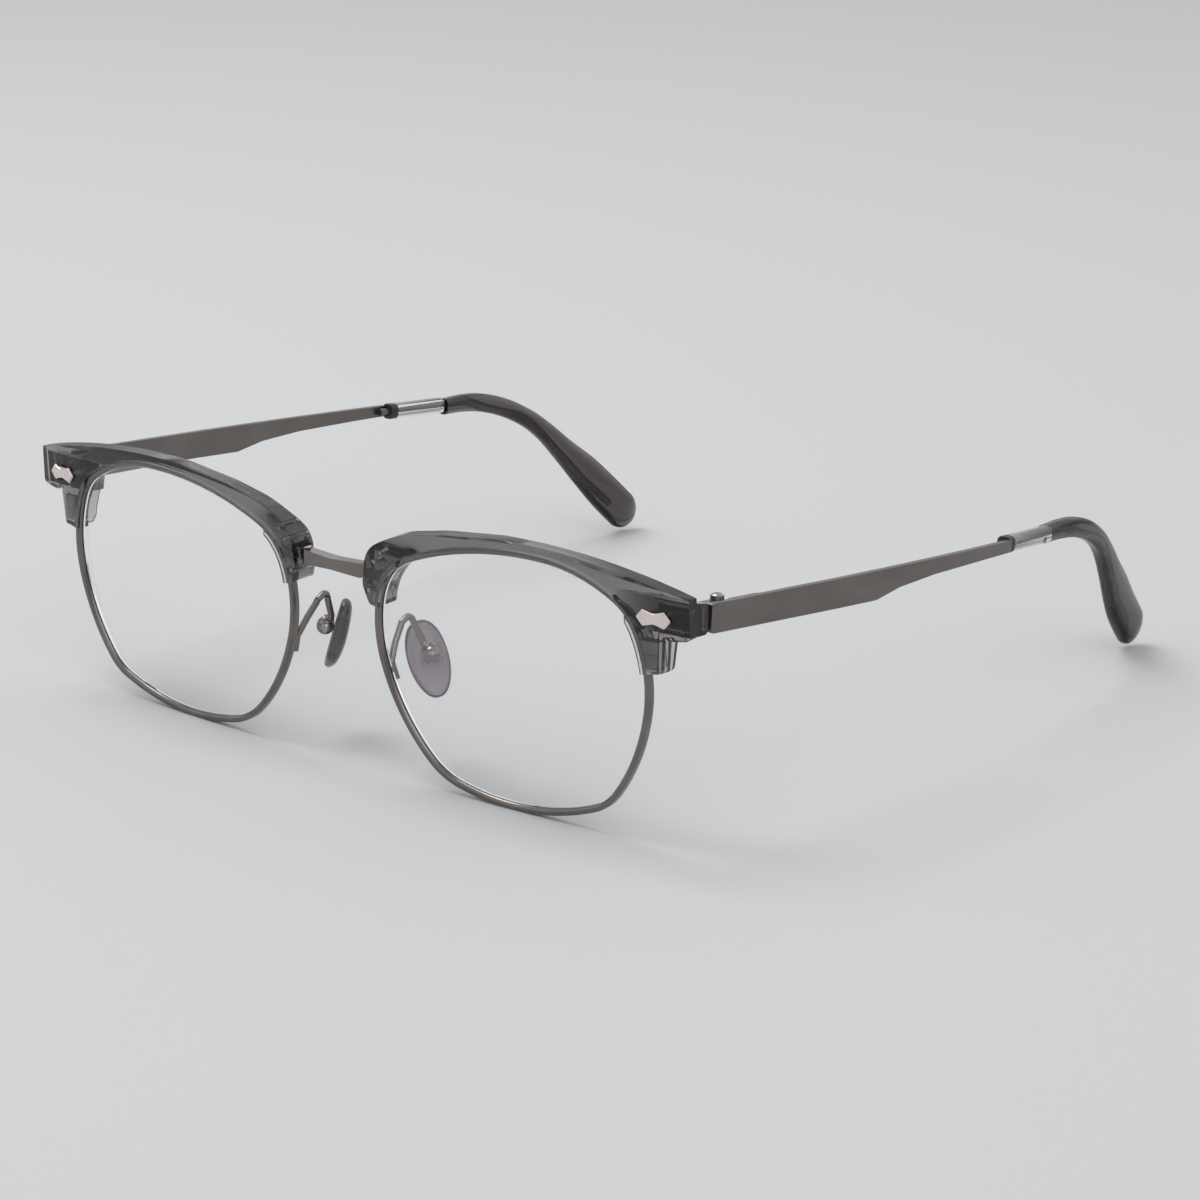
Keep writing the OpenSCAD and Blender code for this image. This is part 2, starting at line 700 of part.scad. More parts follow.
// Hinge: the front leaf holds the screw between its outer knuckles
module hinge_front() {
  plate_x = pivot_x + knuckle_r - plate_w;
  difference() {
    union() {
      translate([plate_x, end_depth - plate_t, pivot_z + plate_up - plate_h / 2])
        cube([plate_w, plate_t, plate_h]);
      temple_frame() difference() {
        for (side = [0, 1]) mirror([0, 0, side]) translate([0, 0, arm_low]) {
          cylinder(r = knuckle_r, h = half_knuckle - arm_low);
          translate([-knuckle_r, -pivot_y + end_depth - 0.3, 0])
            cube([2 * knuckle_r, pivot_y - end_depth + 0.3, (side == 0 ? web_high : web_low) - arm_low]);
        }
        translate([0, 0, -4]) cylinder(r = screw_r + hold_clear, h = 8);
      }
      temple_frame() translate([-knuckle_r, -pivot_y + end_depth - 0.3, -web_low])
        cube([2 * knuckle_r, 2.1, web_high + web_low]);
    }
    plaque_place() rivet_shanks(rivet_r + rivet_clear);
  }
}
module hinge_screw() {
  temple_frame() {
    translate([0, 0, -half_knuckle]) cylinder(r = screw_r, h = knuckle_h);
    translate([0, 0, half_knuckle]) rotate([0, 0, 35]) slotted_head(head_r, head_h, slot_w);
  }
}
// The frame of the temple front: the inner side of the blade is its x = 0 plane
module blade_frame() {
  temple_frame() translate([blade_off, blade_front - pivot_y, 0]) rotate([0, 0, -toe_out])
    children();
}
module hinge_rear() {
  difference() {
    union() {
      blade_frame() intersection() {
        translate([-leaf_t, 0, 0]) rotate([90, 0, 90]) linear_extrude(height = leaf_t) polygon(rounded([
          [pivot_y - blade_front + knuckle_r + 0.25, -leaf_h / 2, 0.4],
          [pivot_y - blade_front + leaf_l - 1, -leaf_h / 2, 3],
          [pivot_y - blade_front + leaf_l + 1.2, -leaf_h / 5, 0.5],
          [pivot_y - blade_front + leaf_l + 1.2, leaf_h / 5, 0.5],
          [pivot_y - blade_front + leaf_l - 1, leaf_h / 2, 3],
          [pivot_y - blade_front + knuckle_r + 0.25, leaf_h / 2, 0.4]
        ]));
      }
      temple_frame() translate([0, 0, -mid_h / 2]) {
        cylinder(r = knuckle_r, h = mid_h);
        linear_extrude(height = mid_h) polygon([
          [-knuckle_r, 0], [knuckle_r, 0], [blade_off + 0.02, knuckle_r + 1.2],
          [blade_off + 0.02, knuckle_r + 2.4], [blade_off - 0.8, knuckle_r + 1.4]
        ]);
      }
    }
    temple_frame() translate([0, 0, -3]) cylinder(r = screw_r + run_clear, h = 6);
    blade_frame() translate([0, -3, -5]) cube([4, 30, 10]);
  }
}

// Core path behind the blade, in the temple frame: [x, along, up]
function core_path() = [
  [blade_off + 0.15, ring_at - 2, blade_up - tail_h / 2],
  [blade_off - 1.55, 93.5, 1.25],
  [blade_off - 3.5, 109.4, -2.9],
  [blade_off - 8.2, 122.6, -16.4],
  [blade_off - 9.45, 128.5, -21.2]
];
module temple() {
  temple_frame() {
    intersection() {
        translate([-5, 0, 0]) rotate([90, 0, 90]) linear_extrude(height = 30) polygon(rounded([
        [blade_front - pivot_y, blade_up, 0.3],
        [blade_front - pivot_y, -blade_down, 0.7],
        [36.4, -blade_down - 0.1, 5],
        [42.5, -1.55, 9],
        [52, -0.72, 24],
        [66, blade_up - tail_h - 0.2, 30],
        [ring_at, blade_up - tail_h, 0],
        [ring_at, blade_up, 0]
      ]));
      union() {
        blade_plan_front();
        blade_plan_rear();
      }
    }
    bent_wire(core_path(), [9, core_bend, 9], core_r);
  }
}
// The straight front of the blade, which carries the hinge leaf
module blade_plan_front() {
  translate([blade_off, blade_front - pivot_y, 0]) rotate([0, 0, -toe_out])
    translate([0, -2, -6]) cube([blade_t, straight_l + 2.1, 12]);
}
module blade_plan_rear() {
  join = blade_front - pivot_y + straight_l;
  from = blade_off + straight_l * tan(toe_out);
  n = 14;
  line = [for (k = [0:n])
    let (y = join + (ring_at + 1 - join) * k / n)
    [from + (y - join) * tan(toe_out) - pow(y - join, 2) * 0.00062, y]];
  translate([0, 0, -6]) linear_extrude(height = 12)
    polygon(concat(line, [for (k = [n:-1:0]) line[k] + [blade_t, 0]]));
}

// Ring, sleeve and tip around the core
module rear_frame() {
  temple_frame() translate(core_path()[0]) rotate([0, 0, 3.5]) children();
}
module oval_bar(h, t, l) {
  rotate([-90, 0, 0]) linear_extrude(height = l)
    polygon(rounded([
      [-t / 2, -h / 2, t * 0.36], [t / 2, -h / 2, t * 0.36],
      [t / 2, h / 2, t * 0.36], [-t / 2, h / 2, t * 0.36]
    ], 6));
}
module ring() {
  difference() {
    rear_frame() translate([0, 2, 0]) oval_bar(ring_h, sleeve_t + 0.15, ring_l);
    temple_frame() bent_wire(core_path(), [9, core_bend, 9], core_r + core_clear);
  }
}
module sleeve() {
  difference() {
    rear_frame() translate([0, 2 + ring_l, 0]) oval_bar(sleeve_h, sleeve_t, sleeve_l);
    temple_frame() bent_wire(core_path(), [9, core_bend, 9], core_r + core_clear);
  }
}
// Side view of the tip in the temple frame: stations [along path, y, z, height]
tip_side = [
  [0, 88, 0.72, tip_h], [5, 93, 0.95, 3.35], [10, 98, 0.6, 3.55], [16, 103.7, -0.8, 3.6],
  [22, 109.1, -3.2, 3.6], [27, 113.2, -6, 3.9], [33, 117.7, -10, 4.9], [39.5, 122.6, -14.4, 6.6],
  [46, 127.4, -18.9, tip_end_h], [58, 136.2, -26.3, tip_end_h]
];
function column(t, c) = smooth_at(t, [for (s = tip_side) [s[0], s[c]]]);
module tip_shell() {
  n = 34;
  m = 18;
  tip_run = 56;
  end_r = tip_end_h / 2;
  rows = [for (i = [0:n])
    let (
      t = tip_run * i / n,
      y = column(t, 1),
      z = column(t, 2),
      y1 = column(t + 0.05, 1),
      z1 = column(t + 0.05, 2),
      y0 = column(t - 0.05, 1),
      z0 = column(t - 0.05, 2),
      along = unit([y1 - y0, z1 - z0]),
      left_over = tip_run - t,
      close = left_over > end_r ? 1 : sqrt(max(1 - pow(1 - left_over / end_r, 2), 0.004)),
      h = column(t, 3) / 2 * close,
      w = (tip_t + (tip_end_t - tip_t) * min(1, t / 45)) / 2 * (0.25 + 0.75 * close),
      x = blade_off + plan_out_tip(y) - (tip_t + (tip_end_t - tip_t) * min(1, t / 45)) / 2
    )
    [for (k = [0:m - 1])
      let (
        a = 360 * k / m,
        cx = sign(cos(a)) * pow(abs(cos(a)), 0.75) * w,
        cz = sign(sin(a)) * pow(abs(sin(a)), 0.85) * h
      )
      [x + cx, y - along[1] * cz, z + along[0] * cz]]];
  points = [for (r = rows) each r];
  faces = concat(
    [[for (k = [0:m - 1]) k]],
    [for (i = [0:n - 1], k = [0:m - 1])
      each [
        [i * m + k, (i + 1) * m + k, (i + 1) * m + (k + 1) % m],
        [i * m + k, (i + 1) * m + (k + 1) % m, i * m + (k + 1) % m]
      ]],
    [[for (k = [m - 1:-1:0]) n * m + k]]
  );
  polyhedron(points, faces, convexity = 4);
}
// Place of the tip's outer side from the inner side of the blade, along its length
function plan_out_tip(y) = smooth_at(y, [
  [87, 0], [97, -0.55], [106, -1.95], [115, -4.2], [126, -7.3], [134, -8.8], [140, -9.6]
]);
module tip() {
  temple_frame() difference() {
    tip_shell();
    bent_wire(core_path(), [9, core_bend, 9], core_r + core_clear);
  }
}

// Named pieces, left and right as seen from the front
module acetate() {
  color([0.13, 0.12, 0.13]) children();
}
module gunmetal() {
  color([0.45, 0.44, 0.45]) children();
}
module clear() {
  color([0.86, 0.88, 0.9, 0.35]) children();
}
module left_brow() {
  acetate() left_side() brow();
}
module right_brow() {
  acetate() right_side() brow();
}
module left_rim() {
  gunmetal() left_side() rim();
}
module right_rim() {
  gunmetal() right_side() rim();
}
module left_lens() {
  clear() left_side() lens();
}
module right_lens() {
  clear() right_side() lens();
}
module left_closing_block() {
  gunmetal() left_side() closing_block();
}
module right_closing_block() {
  gunmetal() right_side() closing_block();
}
module left_lock_screw() {
  gunmetal() left_side() lock_screw();
}
module right_lock_screw() {
  gunmetal() right_side() lock_screw();
}
module left_brow_pins() {
  gunmetal() left_side() brow_pins();
}
module right_brow_pins() {
  gunmetal() right_side() brow_pins();
}
module left_plaque() {
  color([0.78, 0.72, 0.7]) left_side() plaque();
}
module right_plaque() {
  color([0.78, 0.72, 0.7]) right_side() plaque();
}
module left_pad_arm() {
  gunmetal() left_side() pad_arm();
}
module right_pad_arm() {
  gunmetal() right_side() pad_arm();
}
module left_nose_pad() {
  color([0.6, 0.56, 0.58, 0.6]) left_side() nose_pad();
}
module right_nose_pad() {
  color([0.6, 0.56, 0.58, 0.6]) right_side() nose_pad();
}
module left_pad_screw() {
  gunmetal() left_side() pad_screw();
}
module right_pad_screw() {
  gunmetal() right_side() pad_screw();
}
module left_hinge_front() {
  gunmetal() left_side() hinge_front();
}
module right_hinge_front() {
  gunmetal() right_side() hinge_front();
}
module left_hinge_screw() {
  gunmetal() left_side() hinge_screw();
}
module right_hinge_screw() {
  gunmetal() right_side() hinge_screw();
}
module left_hinge_rear() {
  gunmetal() left_side() hinge_rear();
}
module right_hinge_rear() {
  gunmetal() right_side() hinge_rear();
}
module left_temple() {
  gunmetal() left_side() temple();
}
module right_temple() {
  gunmetal() right_side() temple();
}
module left_ring() {
  color([0.08, 0.08, 0.09]) left_side() ring();
}
module right_ring() {
  color([0.08, 0.08, 0.09]) right_side() ring();
}
module left_sleeve() {
  clear() left_side() sleeve();
}
module right_sleeve() {
  clear() right_side() sleeve();
}
module left_tip() {
  acetate() left_side() tip();
}
module right_tip() {
  acetate() right_side() tip();
}
module middle_bridge() {
  gunmetal() right_side() bridge();
}

middle_bridge();  // bridge
left_brow();
right_brow();
left_rim();
right_rim();
left_lens();
right_lens();
left_closing_block();
right_closing_block();
left_lock_screw();
right_lock_screw();
left_brow_pins();
right_brow_pins();
left_plaque();
right_plaque();
left_pad_arm();
right_pad_arm();
left_nose_pad();
right_nose_pad();
left_pad_screw();
right_pad_screw();
left_hinge_front();
right_hinge_front();
left_hinge_screw();
right_hinge_screw();
left_hinge_rear();
right_hinge_rear();
left_temple();
right_temple();
left_ring();
right_ring();
left_sleeve();
right_sleeve();
left_tip();
right_tip();
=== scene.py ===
"""Browline glasses on a pale table: the look of every piece, in metres, in the frame of the CAD model."""

import logging
import math
from contextlib import contextmanager
from dataclasses import dataclass
from enum import Enum
from functools import partial
from typing import Callable, Iterator, Sequence

import bmesh
import bpy
from bmesh.types import BMesh
from bpy.types import Material, Mesh, Node, NodeSocket, NodeTree, Object
from mathutils import Matrix, Vector


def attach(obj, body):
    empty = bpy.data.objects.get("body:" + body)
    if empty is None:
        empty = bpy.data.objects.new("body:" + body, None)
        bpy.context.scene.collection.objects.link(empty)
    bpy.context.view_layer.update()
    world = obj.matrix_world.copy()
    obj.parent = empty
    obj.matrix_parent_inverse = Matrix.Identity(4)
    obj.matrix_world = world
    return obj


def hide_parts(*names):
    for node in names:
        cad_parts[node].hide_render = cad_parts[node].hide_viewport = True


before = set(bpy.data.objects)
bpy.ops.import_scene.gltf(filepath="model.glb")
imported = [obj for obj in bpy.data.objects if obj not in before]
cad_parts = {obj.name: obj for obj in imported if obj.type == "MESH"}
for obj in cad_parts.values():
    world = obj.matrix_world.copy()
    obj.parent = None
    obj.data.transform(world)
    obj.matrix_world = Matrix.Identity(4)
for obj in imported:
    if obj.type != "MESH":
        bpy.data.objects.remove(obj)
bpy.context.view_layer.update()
log = logging.getLogger("glasses")
MM = 0.001
SHIFT_Y = -69.874
Point = tuple[float, float, float]
Colour = tuple[float, float, float]


class Side(Enum):
    """The two halves of the glasses, as seen from the front."""

    LEFT = -1
    RIGHT = 1

    @property
    def prefix(self) -> str:
        """First word of the names of the CAD nodes on this side."""
        return self.name.lower()

    def node(self, piece: str) -> str:
        """Name of this side's CAD node for a piece."""
        return f"{self.prefix}_{piece}"

    def world(self, point: Sequence[float]) -> Vector:
        """A point of the right half in millimetres, moved to this side, in metres."""
        return Vector((point[0] * self.value, point[1] + SHIFT_Y, point[2])) * MM


class Grain(Enum):
    """Which way the fine lines of a metal finish run."""

    ALONG = (400.0, 12.0, 400.0)
    ROUND = (90.0, 90.0, 90.0)


# Finishes


def principled(name: str) -> tuple[Material, Node]:
    """A new material with one Principled shader.

    Args:
        name: Name of the material.

    Returns:
        The material and its Principled node.
    """
    material = bpy.data.materials.new(name)
    material.use_nodes = True
    return material, material.node_tree.nodes["Principled BSDF"]


def noise(tree: NodeTree, scale: Sequence[float], detail: float = 3.0) -> NodeSocket:
    """Noise in object coordinates, stretched by a scale for each axis.

    Args:
        tree: Node tree of the material.
        scale: Cells per metre along X, Y and Z.
        detail: Octaves of the noise.

    Returns:
        The factor output of the noise.
    """
    place = tree.nodes.new("ShaderNodeTexCoord")
    mapping = tree.nodes.new("ShaderNodeMapping")
    mapping.inputs["Scale"].default_value = tuple(scale)
    texture = tree.nodes.new("ShaderNodeTexNoise")
    texture.inputs["Scale"].default_value = 1.0
    texture.inputs["Detail"].default_value = detail
    tree.links.new(place.outputs["Object"], mapping.inputs["Vector"])
    tree.links.new(mapping.outputs["Vector"], texture.inputs["Vector"])
    return texture.outputs["Fac"]


def spread(tree: NodeTree, factor: NodeSocket, low: float, high: float) -> NodeSocket:
    """The factor mapped from its middle range to the range low to high."""
    node = tree.nodes.new("ShaderNodeMapRange")
    for title, value in (("From Min", 0.3), ("From Max", 0.7), ("To Min", low), ("To Max", high)):
        node.inputs[title].default_value = value
    tree.links.new(factor, node.inputs["Value"])
    return node.outputs["Result"]


def tint(tree: NodeTree, factor: NodeSocket, dark: Colour, light: Colour) -> NodeSocket:
    """A colour between dark and light, led by the factor."""
    ramp = tree.nodes.new("ShaderNodeValToRGB")
    for stop, where, colour in zip(ramp.color_ramp.elements, (0.35, 0.65), (dark, light)):
        stop.position, stop.color = where, (*colour, 1.0)
    tree.links.new(factor, ramp.inputs["Fac"])
    return ramp.outputs["Color"]


def relief(tree: NodeTree, shader: Node, height: NodeSocket, depth: float, strength: float) -> None:
    """Bumps the shader by a height of that depth in metres."""
    bump = tree.nodes.new("ShaderNodeBump")
    bump.inputs["Strength"].default_value = strength
    bump.inputs["Distance"].default_value = depth
    tree.links.new(height, bump.inputs["Height"])
    tree.links.new(bump.outputs["Normal"], shader.inputs["Normal"])


@dataclass(frozen=True)
class MetalFinish:
    """Plated metal with fine lines and slightly uneven gloss."""

    name: str
    dark: Colour
    light: Colour
    rough: tuple[float, float]
    grain: Grain = Grain.ROUND
    line_depth: float = 4e-6
    line_strength: float = 0.25

    def build(self) -> Material:
        """The material of this finish."""
        material, shader = principled(self.name)
        tree = material.node_tree
        lines = noise(tree, [8 * s for s in self.grain.value], 4.0)
        cloud = noise(tree, (160.0, 60.0, 160.0), 2.0)
        tree.links.new(tint(tree, cloud, self.dark, self.light), shader.inputs["Base Color"])
        tree.links.new(spread(tree, lines, *self.rough), shader.inputs["Roughness"])
        shader.inputs["Metallic"].default_value = 1.0
        relief(tree, shader, lines, self.line_depth, self.line_strength)
        return material


@dataclass(frozen=True)
class SheerFinish:
    """Translucent plastic that darkens with thickness, with a softly uneven polish."""

    name: str
    surface: Colour
    depth_colour: Colour
    density: float
    rough: tuple[float, float]
    ior: float = 1.49
    wave: float = 1.5e-5
    clear: float = 1.0

    def build(self) -> Material:
        """The material of this finish."""
        material, shader = principled(self.name)
        tree = material.node_tree
        shader.inputs["Base Color"].default_value = (*self.surface, 1.0)
        shader.inputs["IOR"].default_value = self.ior
        shader.inputs["Transmission Weight"].default_value = self.clear
        polish = noise(tree, (220.0, 220.0, 220.0), 2.0)
        tree.links.new(spread(tree, polish, *self.rough), shader.inputs["Roughness"])
        relief(tree, shader, polish, self.wave, 0.15)
        if self.density > 0:
            volume = tree.nodes.new("ShaderNodeVolumeAbsorption")
            volume.inputs["Color"].default_value = (*self.depth_colour, 1.0)
            volume.inputs["Density"].default_value = self.density
            tree.links.new(volume.outputs["Volume"], tree.nodes["Material Output"].inputs["Volume"])
        return material


@dataclass(frozen=True)
class SolidFinish:
    """Opaque plastic with a fine moulded grain."""

    name: str
    dark: Colour
    light: Colour
    rough: tuple[float, float]

    def build(self) -> Material:
        """The material of this finish."""
        material, shader = principled(self.name)
        tree = material.node_tree
        grain = noise(tree, (900.0, 900.0, 900.0), 3.0)
        tree.links.new(tint(tree, grain, self.dark, self.light), shader.inputs["Base Color"])
        tree.links.new(spread(tree, grain, *self.rough), shader.inputs["Roughness"])
        relief(tree, shader, grain, 1e-5, 0.2)
        return material


GUNMETAL = MetalFinish("gunmetal_wire", (0.17, 0.155, 0.147), (0.21, 0.192, 0.182), (0.16, 0.24), line_strength=0.05)
POLISHED_METAL = MetalFinish("polished_wire", (0.2, 0.183, 0.174), (0.24, 0.22, 0.21), (0.1, 0.16), line_strength=0.03)
BRIDGE_METAL = MetalFinish("bridge_metal", (0.18, 0.165, 0.157), (0.22, 0.202, 0.192), (0.08, 0.16), line_strength=0.05)
BLADE_METAL = MetalFinish(
    "brushed_blade", (0.165, 0.152, 0.143), (0.2, 0.185, 0.175), (0.26, 0.36), Grain.ALONG, 6e-6, 0.2
)
PLAQUE_METAL = MetalFinish("satin_plaque", (0.74, 0.665, 0.635), (0.82, 0.745, 0.715), (0.2, 0.28), line_strength=0.05)
SCREW_METAL = MetalFinish("turned_screw", (0.34, 0.335, 0.335), (0.42, 0.41, 0.41), (0.14, 0.22), line_strength=0.05)
BROW_ACETATE = SheerFinish("smoke_acetate", (0.93, 0.92, 0.93), (0.2, 0.17, 0.175), 500.0, (0.0, 0.012), wave=3e-6)
TIP_ACETATE = SheerFinish("tip_acetate", (0.9, 0.88, 0.88), (0.2, 0.15, 0.14), 800.0, (0.01, 0.03), wave=3e-6)
SLEEVE_CLEAR = SheerFinish("clear_sleeve", (0.97, 0.97, 0.975), (0.35, 0.32, 0.34), 160.0, (0.02, 0.05))
PAD_PLASTIC = SheerFinish("pad_plastic", (0.62, 0.57, 0.62), (0.18, 0.12, 0.16), 430.0, (0.0, 0.02), 1.47, 3e-6, 0.9)
LENS_CLEAR = SheerFinish("lens_clear", (1.0, 1.0, 1.0), (1.0, 1.0, 1.0), 0.0, (0.0, 0.004), 1.5, 1e-7)
RING_DARK = SolidFinish("dark_ring", (0.012, 0.012, 0.013), (0.025, 0.024, 0.026), (0.3, 0.42))

MATERIALS: dict[str, Material] = {}


def dressed(finish: MetalFinish | SheerFinish | SolidFinish) -> Material:
    """The material of a finish, built once."""
    if finish.name not in MATERIALS:
        MATERIALS[finish.name] = finish.build()
    return MATERIALS[finish.name]


# Shared mesh work


def round_steps(count: int) -> list[tuple[float, float]]:
    """Cosine and sine of even steps round one turn."""
    return [(math.cos(math.tau * k / count), math.sin(math.tau * k / count)) for k in range(count)]


def squared(value: float, power: float) -> float:
    """A power that keeps the sign of its value, which squares off a round outline."""
    return math.copysign(abs(value) ** power, value)


@contextmanager
def edited(mesh: Mesh) -> Iterator[BMesh]:
    """The faces of a mesh to work on, written back to it at the end."""
    work = bmesh.new()
    work.from_mesh(mesh)
    yield work
    work.to_mesh(mesh)
    work.free()


def linked(name: str, data: bpy.types.ID) -> Object:
    """A new object at the origin of the scene."""
    obj = bpy.data.objects.new(name, data)
    bpy.context.scene.collection.objects.link(obj)
    return obj


def spin(degrees: float, axis: str) -> Matrix:
    """A turn about an axis."""
    return Matrix.Rotation(math.radians(degrees), 4, axis)


def polish_mesh(mesh: Mesh, sharp_deg: float = 40.0) -> None:
    """Smooth shading with edges sharper than an angle kept crisp."""
    mesh.shade_smooth()
    mesh.set_sharp_from_angle(angle=math.radians(sharp_deg))


def face_out(mesh: Mesh) -> None:
    """Merges meeting points and turns every face outwards."""
    with edited(mesh) as work:
        bmesh.ops.remove_doubles(work, verts=work.verts, dist=1e-7)
        bmesh.ops.recalc_face_normals(work, faces=work.faces)


def baked(obj: Object) -> Object:
    """Applies the modifiers of an object to its mesh and removes them.

    Args:
        obj: Object with live modifiers.

    Returns:
        The same object with a plain mesh.
    """
    shown = obj.evaluated_get(bpy.context.evaluated_depsgraph_get())
    mesh = bpy.data.meshes.new_from_object(shown)
    obj.modifiers.clear()
    old = obj.data
    obj.data = mesh
    if isinstance(old, Mesh):
        bpy.data.meshes.remove(old)
    return obj


def placed(name: str, mesh: Mesh, material: Material) -> Object:
    """A new object at the origin with that mesh and material."""
    mesh.materials.clear()
    mesh.materials.append(material)
    return linked(name, mesh)


def enlist(obj: Object, body: str, nodes: Sequence[str]) -> None:
    """Lets a piece ride on its body and stand for its CAD nodes, which it hides."""
    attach(obj, body)
    if nodes:
        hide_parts(*nodes)
    log.info("%s: %d faces on %s", obj.name, len(obj.data.polygons), body)


def eased_copy(
    name: str,
    node: str,
    material: Material,
    ease: float,
    steps: int = 3,
    sharp_deg: float = 35.0,
    reshape: Callable[[BMesh], None] | None = None,
) -> Object:
    """A copy of a CAD node with its edges rounded as a polished piece has them.

    Args:
        name: Name of the new piece.
        node: CAD node that is copied.
        material: Material of the piece.
        ease: Width of the rounded edges in metres.
        steps: Segments across each rounded edge.
        sharp_deg: Edges sharper than this are rounded.
        reshape: Change made to the merged copy before its edges are rounded.

    Returns:
        The new object.
    """
    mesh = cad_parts[node].data.copy()
    with edited(mesh) as work:
        bmesh.ops.remove_doubles(work, verts=work.verts, dist=2e-6)
        if reshape:
            reshape(work)
        flat = math.radians(0.6)
        bmesh.ops.dissolve_limit(
            work, angle_limit=flat, verts=work.verts, edges=work.edges, use_dissolve_boundaries=False
        )
    obj = placed(name, mesh, material)
    bevel = obj.modifiers.new("eased", "BEVEL")
    bevel.width = ease
    bevel.segments = steps
    bevel.limit_method = "ANGLE"
    bevel.angle_limit = math.radians(sharp_deg)
    bevel.use_clamp_overlap = True
    bevel.harden_normals = True
    polish_mesh(obj.data, 50.0)
    return baked(obj)


def skin(name: str, rings: Sequence[Sequence[Vector]], material: Material, closed: bool = False) -> Object:
    """A closed mesh through rings of points, with its two ends filled.

    Args:
        name: Name of the new object.
        rings: Rings with the same number of points each.
        material: Material of the piece.
        closed: Whether the last ring joins the first.

    Returns:
        The new object, its faces outwards.
    """
    count = len(rings[0])
    mesh = bpy.data.meshes.new(name)
    with edited(mesh) as work:
        rows = [[work.verts.new(p) for p in ring] for ring in rings]
        for a, b in zip(rows, rows[1:] + rows[:1] if closed else rows[1:]):
            for k in range(count):
                work.faces.new((a[k], a[(k + 1) % count], b[(k + 1) % count], b[k]))
        if not closed:
            work.faces.new(rows[0][::-1])
            work.faces.new(rows[-1])
        bmesh.ops.recalc_face_normals(work, faces=work.faces)
    obj = placed(name, mesh, material)
    polish_mesh(obj.data)
    return obj


def smooth_at(where: float, stations: Sequence[tuple[float, float]]) -> float:
    """Smooth value between stations (where, value)."""
    if where <= stations[0][0]:
        return stations[0][1]
    for i in range(len(stations) - 1):
        a, b = stations[i], stations[i + 1]
        if where <= b[0]:
            before, after = stations[max(i - 1, 0)], stations[min(i + 2, len(stations) - 1)]
            span = b[0] - a[0]
            k = (where - a[0]) / span
            m0 = (b[1] - before[1]) / (b[0] - before[0]) * span
            m1 = (after[1] - a[1]) / (after[0] - a[0]) * span
            return (
                (2 * k**3 - 3 * k**2 + 1) * a[1]
                + (k**3 - 2 * k**2 + k) * m0
                + (3 * k**2 - 2 * k**3) * b[1]
                + (k**3 - k**2) * m1
            )
    return stations[-1][1]


# Lens plane and rim outline


@dataclass(frozen=True)
class LensPlane:
    """The leaning plane that carries a lens: u towards the temple, w backwards, v up."""

    x: float = 36.0
    y: float = -0.81
    z: float = 19.0
    lean: float = 3.27
    turn: float = 2.69

    def matrix(self) -> Matrix:
        """Place and turn of the right lens plane, in millimetres."""
        return Matrix.Translation((self.x, self.y, self.z)) @ spin(self.lean, "X") @ spin(self.turn, "Z")

    def at(self, side: Side, u: float, w: float, v: float) -> Vector:
        """World place in metres of a point of the plane, on one side."""
        return side.world(self.matrix() @ Vector((u, w, v)))


@dataclass(frozen=True)
class RimOutline:
    """The closed chain of twelve tangent arcs that the rim, lens and brow share."""

    heads: tuple[float, ...] = (-10, 24, 60, 88, 112, 144, 168, 196, 226, 256, 292, 322)
    radii: tuple[float, ...] = (23.33, 9.5, 30.65, 67.21, 9.5, 12.18, 21.92, 33.76, 13.34, 44.86, 9.5, 33.36)
    first: tuple[float, float] = (4.117, 5.998)

    def points(self, inset: float, spacing: float) -> list[tuple[float, float]]:
        """Points (u, v) round the outline moved inwards by inset, about spacing apart."""
        centre = list(self.first)
        found = []
        for i, radius in enumerate(self.radii):
            start = math.radians(self.heads[i])
            end = math.radians(self.heads[(i + 1) % 12]) + (math.tau if i == 11 else 0)
            if i:
                step = self.radii[i - 1] - radius
                centre = [centre[0] + step * math.cos(start), centre[1] + step * math.sin(start)]
            count = math.ceil(radius * (end - start) / spacing)
            for k in range(count):
                angle, reach = start + (end - start) * k / count, radius - inset
                found.append((centre[0] + reach * math.cos(angle), centre[1] + reach * math.sin(angle)))
        return found


PLANE = LensPlane()
OUTLINE = RimOutline()


